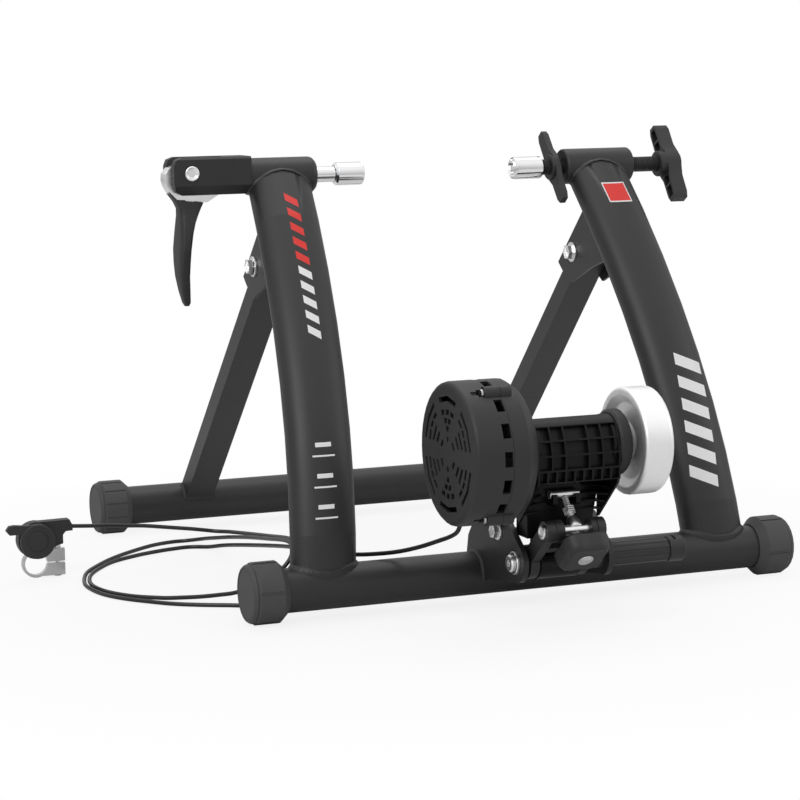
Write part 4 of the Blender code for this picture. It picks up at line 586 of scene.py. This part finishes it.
def finish(name):
    """The finish of this name, built when it is first asked for."""
    if name in FINISHES:
        return FINISHES[name]
    coats = settings("trainer_coats")
    metals = settings("trainer_metals")
    handle = tuple(c * HANDLE_SHADE for c in coats.plastic)
    # Painted shade: the cradle's plastic, which the magnet carrier shares, is made far darker than the
    # covers' to stand for the shade that falls on them
    cradle = tuple(c * CRADLE_PAINTED_SHADE for c in coats.plastic)
    makers = {
        "powder_coat": powder_coat,
        "left_upright_coat": lambda: printed_coat(-1),
        "right_upright_coat": lambda: printed_coat(1),
        "threaded_coat": lambda: threaded(powder_coat(name), axis=0, pitch=ADJUSTER_PITCH, depth=0.0006),
        "housing_plastic": lambda: moulded(name, coats.plastic, coats.plastic_roughness),
        "handle_plastic": lambda: moulded(name, handle, roughness=0.52, grain=0.0009, depth=0.00009),
        "cradle_plastic": lambda: moulded(name, cradle, coats.cradle_roughness,
                                          grain=0.0012, depth=0.00003, level=0.2),
        "foot_rubber": lambda: moulded(name, coats.rubber, roughness=0.62, grain=0.0011, depth=0.00010),
        "roller_resin": lambda: moulded(name, coats.gel, roughness=0.4, grain=0.0020, depth=0.00002),
        "cable_jacket": lambda: moulded(name, coats.cable, roughness=0.32,
                                        grain=0.0008, depth=0.00002, level=0.5),
        "chrome": lambda: bright_metal(name, metals.chrome, metals.chrome_roughness),
        "bright_pin": lambda: bright_metal(name, metals.pin, roughness=0.3),
        "threaded_pin": lambda: threaded(bright_metal(name, metals.pin, roughness=0.3),
                                         axis=2, pitch=TENSION_PITCH, depth=0.0004),
        "zinc_plate": lambda: bright_metal(name, metals.zinc, roughness=0.3),
        "satin_alloy": lambda: bright_metal(name, metals.alloy, roughness=0.34,
                                            streak=(1, 1, 6), depth=0.00002),
        "rotor_alloy": lambda: turned_steel(name, metals.alloy, roughness=0.35, node="rotor_disc"),
        "flywheel_steel": lambda: turned_steel(name, metals.steel, roughness=0.50, node="flywheel"),
    }
    FINISHES[name] = makers[name]().material
    return FINISHES[name]


def piece(name, mesh, finish_name, body):
    """A shown piece with its finish, riding on its body."""
    made = bpy.data.objects.new(name, mesh)
    bpy.context.scene.collection.objects.link(made)
    mesh.materials.clear()
    mesh.materials.append(finish(finish_name))
    if body is not None:
        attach(made, body)
    return made


def joined(node):
    """The node's shape with its triangles joined into whole faces."""
    shape = bmesh.new()
    shape.from_mesh(frame["nodes"][node].data)
    bmesh.ops.remove_doubles(shape, verts=shape.verts, dist=MERGE_DISTANCE)
    bmesh.ops.dissolve_limit(shape, angle_limit=FLAT_ANGLE, verts=shape.verts, edges=shape.edges)
    return shape


def sharp_edges(shape):
    return [e for e in shape.edges if e.is_manifold and e.calc_face_angle() > EDGE_ANGLE]


def to_mesh(shape, name, angle=EDGE_ANGLE):
    mesh = bpy.data.meshes.new(name)
    shape.to_mesh(mesh)
    shape.free()
    mesh.shade_smooth()
    mesh.set_sharp_from_angle(angle=angle)
    return mesh


def step_ends(shape, steps, way=None):
    """Turns rings into a piece's flat ends, or those that face a way: each step goes in and down."""
    ends = [f for f in shape.faces if len(f.verts) >= END_CORNERS]
    largest = max(f.calc_area() for f in ends)
    middle = sum((f.calc_center_median() for f in ends), Vector()) / len(ends)
    for end in [f for f in ends if f.calc_area() > largest * END_SHARE]:
        outwards = (end.calc_center_median() - middle).dot(end.normal) > 0
        if not outwards or (way and end.normal.dot(Vector(way)) < END_FACING):
            continue
        for width, depth in steps:
            down = end.normal * -depth
            bmesh.ops.inset_individual(shape, faces=[end], thickness=width)
            for vert in end.verts:
                vert.co += down


def dress(node, finish_name, edge, steps=(), way=None):
    """Shows a node with its edges broken by edge millimetres, its own finish and stepped ends."""
    shape = joined(node)
    if steps:
        step_ends(shape, steps, way)
    if edge:
        bmesh.ops.bevel(shape, geom=sharp_edges(shape), offset=edge * MM, offset_type="OFFSET", segments=2,
                        profile=0.6, affect="EDGES", clamp_overlap=True)
    name = f"{node}_dressed"
    made = piece(name, to_mesh(shape, name), finish_name, frame["nodes"][node]["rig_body"])
    even = made.modifiers.new("even normals", "WEIGHTED_NORMAL")
    even.keep_sharp = True
    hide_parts(node)


def rim(node, tube):
    """The longest loop of edges of node that lies on the round tube, in order, and the tube's axis."""
    low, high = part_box(tube)
    middle = (low + high) / 2
    radius = (high.z - low.z) / 2
    shape = joined(node)

    def near(vert):
        return abs(math.hypot(vert.co.y - middle.y, vert.co.z - middle.z) - radius) < RIM_REACH

    follow = {}
    for edge in sharp_edges(shape):
        if near(edge.verts[0]) and near(edge.verts[1]):
            for a, b in (edge.verts, reversed(edge.verts)):
                follow.setdefault(a, []).append(b)
    loops = []
    seen = set()
    for start in follow:
        if start in seen:
            continue
        loop = []
        here = start
        while here is not None:
            seen.add(here)
            loop.append(here.co.copy())
            here = next((v for v in follow[here] if v not in seen), None)
        loops.append(loop)
    shape.free()
    if not loops:
        raise RuntimeError(f"{node} has no rim on {tube}")
    return max(loops, key=lambda loop: sum((a - b).length for a, b in zip(loop, loop[1:]))), middle


def evenly(points, step, closed):
    """Points about step apart along a line through the given ones, and the line's length."""
    line = [Vector(p) for p in points]
    if closed:
        line.append(line[0])
    along = [0.0]
    for a, b in zip(line, line[1:]):
        along.append(along[-1] + (b - a).length)
    count = max(FEWEST_STEPS, round(along[-1] / step))
    made = []
    k = 0
    for n in range(count if closed else count + 1):
        target = along[-1] * n / count
        while k < len(along) - 2 and along[k + 1] < target:
            k += 1
        made.append(line[k].lerp(line[k + 1], (target - along[k]) / max(TINY, along[k + 1] - along[k])))
    return made, along[-1]


def softened(points, rounds):
    """A closed loop with each point drawn towards its neighbours."""
    for _ in range(rounds):
        ahead = points[1:] + points[:1]
        points = [(points[k - 1] + points[k] * 2 + ahead[k]) / 4 for k in range(len(points))]
    return points


def circle(centre, first, second, radius, sides):
    """Points round a circle, from the first direction towards the second."""
    return [centre + (first * math.cos(TURN * j / sides) + second * math.sin(TURN * j / sides)) * radius
            for j in range(sides)]


def tube_mesh(name, rings, closed):
    """A skin over rings of points, with its ends closed unless the rings run round."""
    shape = bmesh.new()
    verts = [[shape.verts.new(p) for p in ring] for ring in rings]
    count = len(rings[0])
    for k in range(len(rings) if closed else len(rings) - 1):
        here, ahead = verts[k], verts[(k + 1) % len(rings)]
        for j in range(count):
            shape.faces.new((here[j], here[(j + 1) % count], ahead[(j + 1) % count], ahead[j]))
    if not closed:
        shape.faces.new(reversed(verts[0]))
        shape.faces.new(verts[-1])
    bmesh.ops.recalc_face_normals(shape, faces=shape.faces)
    return to_mesh(shape, name, TUBE_ANGLE)


def weld_bead(name, node, tube, body, size=1.0):
    """A rippled bead where node stands on a round tube, size times the usual bead."""
    welds = settings("trainer_welds")
    loop, middle = rim(node, tube)
    line, length = evenly(loop, WELD_STEP, True)
    line = softened(line, WELD_ROUNDS)
    heart = sum(line, Vector()) / len(line)
    ripples = round(length / welds.pitch)
    rings = []
    for k, point in enumerate(line):
        along = (line[(k + 1) % len(line)] - line[k - 1]).normalized()
        from_axis = Vector((0, point.y - middle.y, point.z - middle.z)).normalized()
        out = point - heart
        out = (out - along * out.dot(along) - from_axis * out.dot(from_axis)).normalized()
        lift = (from_axis + out).normalized()
        side = along.cross(lift)
        ring = []
        for j in range(WELD_SIDES):
            angle = TURN * j / WELD_SIDES
            phase = (ripples * k / len(line) + WELD_CURVE * math.sin(angle)) % 1.0
            crest = 1 - welds.ripple * phase
            ring.append(point + side * (welds.half_width * size * math.cos(angle))
                        + lift * (welds.height * size * (math.sin(angle) * crest + WELD_RISE)))
        rings.append(ring)
    piece(name, tube_mesh(name, rings, True), "powder_coat", body)


def knob_cap():
    """A round silver cap, slightly domed, on the end of the tension knob."""
    radius = settings("trainer_metals").cap_radius
    down = Vector((0, TRUNNION.y - T_BAR.y, TRUNNION.z - T_BAR.z)).normalized()
    base = Vector((SCREW_X, TRUNNION.y, TRUNNION.z)) + down * KNOB_FAR + ORIGIN
    across = Vector((1, 0, 0))
    up = down.cross(across)
    rings = [circle(base + down * height, across, up, radius * share, CAP_SIDES)
             for share, height in CAP_PROFILE]
    piece("knob_cap", tube_mesh("knob_cap", rings, False), "satin_alloy", "screw_knob")


def carried(normal, previous, ahead):
    """A normal carried round a bend without twist."""
    return (previous.rotation_difference(ahead) @ normal).normalized()


def smooth_route(route, step):
    """Points step apart on a Catmull-Rom curve through the route, none of them below the floor."""
    knots = [Vector(point) for point in route]
    knots = [knots[0] * 2 - knots[1], *knots, knots[-1] * 2 - knots[-2]]
    fine = []
    for i in range(1, len(knots) - 2):
        a, b, c, d = knots[i - 1:i + 3]
        for k in range(CURVE_STEPS):
            t = k / CURVE_STEPS
            fine.append(0.5 * ((2 * b) + (c - a) * t + (2 * a - 5 * b + 4 * c - d) * t * t
                               + (3 * b - a - 3 * c + d) * t ** 3))
    fine.append(knots[-2])
    points, _ = evenly(fine, step, False)
    for point in points:
        point.z = max(point.z, FLOOR_Z)
    return [point + ORIGIN for point in points]


class TRAINER_OT_stage(bpy.types.Operator):
    """Sets the camera, the soft lamps and the pale floor"""

    bl_idname = "trainer.stage"
    bl_label = "Stage"

    def execute(self, context):
        studio = context.scene.trainer_studio
        context.scene.view_settings.view_transform = "Standard"
        # Objects of Blender's own start-up file
        for made in list(context.scene.objects):
            if made.name in ("Cube", "Light", "Camera"):
                bpy.data.objects.remove(made)
        self.camera(context, studio)
        for name, place, size, watts in LAMPS:
            data = bpy.data.lights.new(name, "AREA")
            data.energy = getattr(studio, watts)
            data.size = size
            lamp = bpy.data.objects.new(name, data)
            context.scene.collection.objects.link(lamp)
            lamp.location = place
            lamp.rotation_euler = (LAMP_TARGET - lamp.location).to_track_quat("-Z", "Y").to_euler()
        self.world(context, studio)
        self.floor(studio)
        return {"FINISHED"}

    def camera(self, context, studio):
        forward = Vector((math.sin(studio.yaw) * math.cos(studio.pitch),
                          math.cos(studio.yaw) * math.cos(studio.pitch), -math.sin(studio.pitch)))
        right = Vector((math.cos(studio.yaw), -math.sin(studio.yaw), 0))
        up = right.cross(forward)
        right, up = (right * math.cos(studio.roll) + up * math.sin(studio.roll),
                     up * math.cos(studio.roll) - right * math.sin(studio.roll))
        data = bpy.data.cameras.new("camera")
        data.lens = studio.lens
        data.sensor_width = studio.sensor
        camera = bpy.data.objects.new("camera", data)
        context.scene.collection.objects.link(camera)
        turn = Matrix((right, up, -forward)).transposed().to_4x4()
        camera.matrix_world = Matrix.Translation(studio.camera) @ turn
        context.scene.camera = camera

    def world(self, context, studio):
        """White behind the object, softer in reflections near the floor, and dim on rough surfaces."""
        world = bpy.data.worlds.new("studio")
        world.use_nodes = True
        context.scene.world = world
        sky = Nodes(world.node_tree)
        place = sky.node("ShaderNodeTexCoord", output="Generated")
        height = sky.node("ShaderNodeSeparateXYZ", None, {0: place}, output="Z")
        seen, glossy, passed = sky.outputs(sky.node("ShaderNodeLightPath"),
                                           "Is Camera Ray", "Is Glossy Ray", "Is Transmission Ray")
        shiny = glossy.larger(passed)
        mirrored = sky.mapped(height, HORIZON, studio.low_glow, 1.0)
        soft = shiny * mirrored + (1 - shiny) * studio.sky
        background = world.node_tree.nodes["Background"]
        sky.feed(background.inputs["Color"], (1, 1, 1, 1))
        sky.feed(background.inputs["Strength"], seen + (1 - seen) * soft)

    def floor(self, studio):
        """A pale floor that keeps a soft shadow near the object and is plain white further out."""
        shape = bmesh.new()
        bmesh.ops.create_grid(shape, x_segments=1, y_segments=1, size=studio.floor_size)
        mesh = to_mesh(shape, "floor")
        floor = bpy.data.objects.new("floor", mesh)
        bpy.context.scene.collection.objects.link(floor)
        floor.location.z = -FLOOR_DROP
        material = bpy.data.materials.new("pale_floor")
        material.use_nodes = True
        mesh.materials.append(material)
        ground = Nodes(material.node_tree)
        matte = material.node_tree.nodes["Principled BSDF"]
        ground.feed(matte.inputs["Base Color"], (*studio.floor, 1))
        ground.feed(matte.inputs["Roughness"], 0.9)
        ground.feed(matte.inputs["Specular IOR Level"], 0.0)
        glow = ground.node("ShaderNodeEmission", None, {"Strength": 1.0})
        reach = ground.length(ground.node("ShaderNodeTexCoord", output="Object"))
        seen = ground.node("ShaderNodeLightPath", output="Is Camera Ray")
        share = ground.mapped(reach, FLOOR_FADE, studio.floor_glow, 1.0) * seen
        shaders = {0: share, 1: Link(ground, matte.outputs[0]), 2: glow}
        mix = ground.node("ShaderNodeMixShader", None, shaders)
        ground.feed(material.node_tree.nodes["Material Output"].inputs["Surface"], mix)


class TRAINER_OT_cable(bpy.types.Operator):
    """Lays the cable from the magnet cover's gland to the shifter"""

    bl_idname = "trainer.cable"
    bl_label = "Cable"

    def execute(self, context):
        cable = context.scene.trainer_cable
        points = smooth_route(CABLE_ROUTE, cable.step)
        ways = [(b - a).normalized() for a, b in zip(points, points[1:])]
        ways.append(ways[-1])
        normal = ways[0].orthogonal().normalized()
        rings = []
        for k, point in enumerate(points):
            if k:
                normal = carried(normal, ways[k - 1], ways[k])
            rings.append(circle(point, normal, ways[k].cross(normal), CABLE_R, cable.sides))
        made = piece("shift_cable", tube_mesh("shift_cable", rings, False), "cable_jacket", None)
        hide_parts("control_cable")
        free = round(cable.free / cable.step)
        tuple(points[0])
        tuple(points[free])
        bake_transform(made)
        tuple(points[0])
        return {"FINISHED"}


class TRAINER_OT_front_frame(bpy.types.Operator):
    """Coats the front tube, the uprights with their marks, the head tubes, brackets and plates"""

    bl_idname = "trainer.front_frame"
    bl_label = "Front frame"

    def execute(self, context):
        dress("upright_left", "left_upright_coat", edge=0)
        dress("upright_right", "right_upright_coat", edge=0)
        for node in ("front_tube", "head_tube_left", "head_tube_right"):
            dress(node, "powder_coat", edge=0.8)
        for side in ("left", "right"):
            dress(f"hinge_bracket_{side}", "powder_coat", edge=0.8)
            dress(f"bracket_plate_{side}", "powder_coat", edge=0.6)
            dress(f"fold_bolt_{side}", "bright_pin", edge=0.3, steps=SOCKET)
            weld_bead(f"weld_foot_{side}", f"upright_{side}", "front_tube", "front_frame")
            weld_bead(f"weld_head_{side}", f"upright_{side}", f"head_tube_{side}", "front_frame", size=0.5)
            weld_bead(f"weld_plate_{side}", f"bracket_plate_{side}", "front_tube", "front_frame", size=0.8)
        return {"FINISHED"}


class TRAINER_OT_rear_frame(bpy.types.Operator):
    """Coats the rear tube and the two legs that fold"""

    bl_idname = "trainer.rear_frame"
    bl_label = "Rear frame"

    def execute(self, context):
        dress("rear_tube", "powder_coat", edge=0.8)
        for side in ("left", "right"):
            dress(f"leg_{side}", "powder_coat", edge=1.5)
            weld_bead(f"weld_leg_{side}", f"leg_{side}", "rear_tube", "rear_frame")
        return {"FINISHED"}


class TRAINER_OT_feet(bpy.types.Operator):
    """Finishes the four foot caps"""

    bl_idname = "trainer.feet"
    bl_label = "Foot caps"

    def execute(self, context):
        for end in ("front", "rear"):
            for side, outward in (("left", -1), ("right", 1)):
                dress(f"{end}_foot_{side}", "foot_rubber", edge=0.3, steps=CAP_GROOVE, way=(outward, 0, 0))
        return {"FINISHED"}


class TRAINER_OT_left_clamp(bpy.types.Operator):
    """Finishes the quick release clamp on the left head tube"""

    bl_idname = "trainer.left_clamp"
    bl_label = "Left clamp"

    def execute(self, context):
        dress("cam_cover", "housing_plastic", edge=0.5)
        dress("lever_grip", "handle_plastic", edge=0.6)
        dress("cam_head", "bright_pin", edge=0.3)
        for node in ("clamp_pin", "axle_cup_left"):
            dress(node, "chrome", edge=0.3)
        dress("cam_pin", "bright_pin", edge=0.25, steps=SOCKET)
        dress("return_spring", "zinc_plate", edge=0)
        return {"FINISHED"}


class TRAINER_OT_right_clamp(bpy.types.Operator):
    """Finishes the adjuster and the lock handle on the right head tube"""

    bl_idname = "trainer.right_clamp"
    bl_label = "Right clamp"

    def execute(self, context):
        dress("axle_cup_right", "chrome", edge=0.3)
        dress("adjuster_rod", "threaded_coat", edge=0.4)
        for node in ("adjuster_handle", "lock_handle"):
            dress(node, "handle_plastic", edge=0.8)
        return {"FINISHED"}


class TRAINER_OT_resistance_unit(bpy.types.Operator):
    """Finishes the magnet housing, the ribbed cradle and what turns in them"""

    bl_idname = "trainer.resistance_unit"
    bl_label = "Resistance unit"

    def execute(self, context):
        for node in ("magnet_cover", "back_shell", "bearing_housing"):
            dress(node, "housing_plastic", edge=0.35)
        # Painted shade: the carrier seen through the vents and the cradle get the darkened plastic,
        # standing for the shade inside the housing and on the cradle
        dress("magnet_carrier", "cradle_plastic", edge=0.35)
        dress("roller_cradle", "cradle_plastic", edge=0.3)
        dress("roller", "roller_resin", edge=0.5)
        dress("flywheel", "flywheel_steel", edge=1.2)
        dress("rotor_disc", "rotor_alloy", edge=0.3)
        for node in ("flywheel_nut", "roller_shaft", "bearing_left", "bearing_right"):
            dress(node, "zinc_plate", edge=0.25)
        for word in ("top", "bottom", "rear"):
            dress(f"cover_screw_{word}", "zinc_plate", edge=0.2)
        return {"FINISHED"}


class TRAINER_OT_unit_pivot(bpy.types.Operator):
    """Finishes the pivot under the resistance unit and the tension screw"""

    bl_idname = "trainer.unit_pivot"
    bl_label = "Pivot and tension screw"

    def execute(self, context):
        for node in ("torsion_sleeve", "tension_yoke"):
            dress(node, "powder_coat", edge=0.3)
        for node in ("sleeve_collar", "trunnion_bush_left", "trunnion_bush_right"):
            dress(node, "housing_plastic", edge=0.3)
        for node in ("pivot_bolt", "plate_bolt"):
            dress(node, "bright_pin", edge=0.3, steps=SOCKET)
        dress("trunnion", "bright_pin", edge=0.3, steps=SOCKET[:2])
        dress("t_bar", "bright_pin", edge=0.3)
        dress("tension_rod", "threaded_pin", edge=0.3)
        dress("tension_knob", "handle_plastic", edge=0.6)
        knob_cap()
        return {"FINISHED"}


class TRAINER_OT_shifter(bpy.types.Operator):
    """Finishes the handlebar shifter"""

    bl_idname = "trainer.shifter"
    bl_label = "Shifter"

    def execute(self, context):
        dress("shifter_body", "housing_plastic", edge=0.4)
        dress("shifter_lever", "handle_plastic", edge=0.3, steps=DIAL_GROOVE, way=(0, -1, 0))
        dress("shifter_clamp", "satin_alloy", edge=0.5)
        dress("clamp_bolt", "zinc_plate", edge=0.2)
        return {"FINISHED"}


OPERATORS = (
    TRAINER_OT_stage, TRAINER_OT_cable, TRAINER_OT_front_frame, TRAINER_OT_rear_frame, TRAINER_OT_feet,
    TRAINER_OT_left_clamp, TRAINER_OT_right_clamp, TRAINER_OT_resistance_unit, TRAINER_OT_unit_pivot,
    TRAINER_OT_shifter,
)


class TRAINER_PT_panel(bpy.types.Panel):
    """Lists what dresses the trainer"""

    bl_idname = "TRAINER_PT_panel"
    bl_label = "Bike trainer"
    bl_space_type = "VIEW_3D"
    bl_region_type = "UI"
    bl_category = "Trainer"

    def draw(self, context):
        for group, kind in GROUPS.items():
            box = self.layout.box()
            box.label(text=kind.__doc__)
            for name in kind.__annotations__:
                box.prop(getattr(context.scene, group), name)
        for operator in OPERATORS:
            self.layout.operator(operator.bl_idname)


def register():
    for kind in (*GROUPS.values(), *OPERATORS, TRAINER_PT_panel):
        bpy.utils.register_class(kind)
    for group, kind in GROUPS.items():
        setattr(bpy.types.Scene, group, PointerProperty(type=kind))


def unregister():
    for group in GROUPS:
        delattr(bpy.types.Scene, group)
    for kind in reversed((*GROUPS.values(), *OPERATORS, TRAINER_PT_panel)):
        bpy.utils.unregister_class(kind)


def main():
    register()
    for operator in OPERATORS:
        area, name = operator.bl_idname.split(".")
        getattr(getattr(bpy.ops, area), name)()


if __name__ == "__main__":
    main()
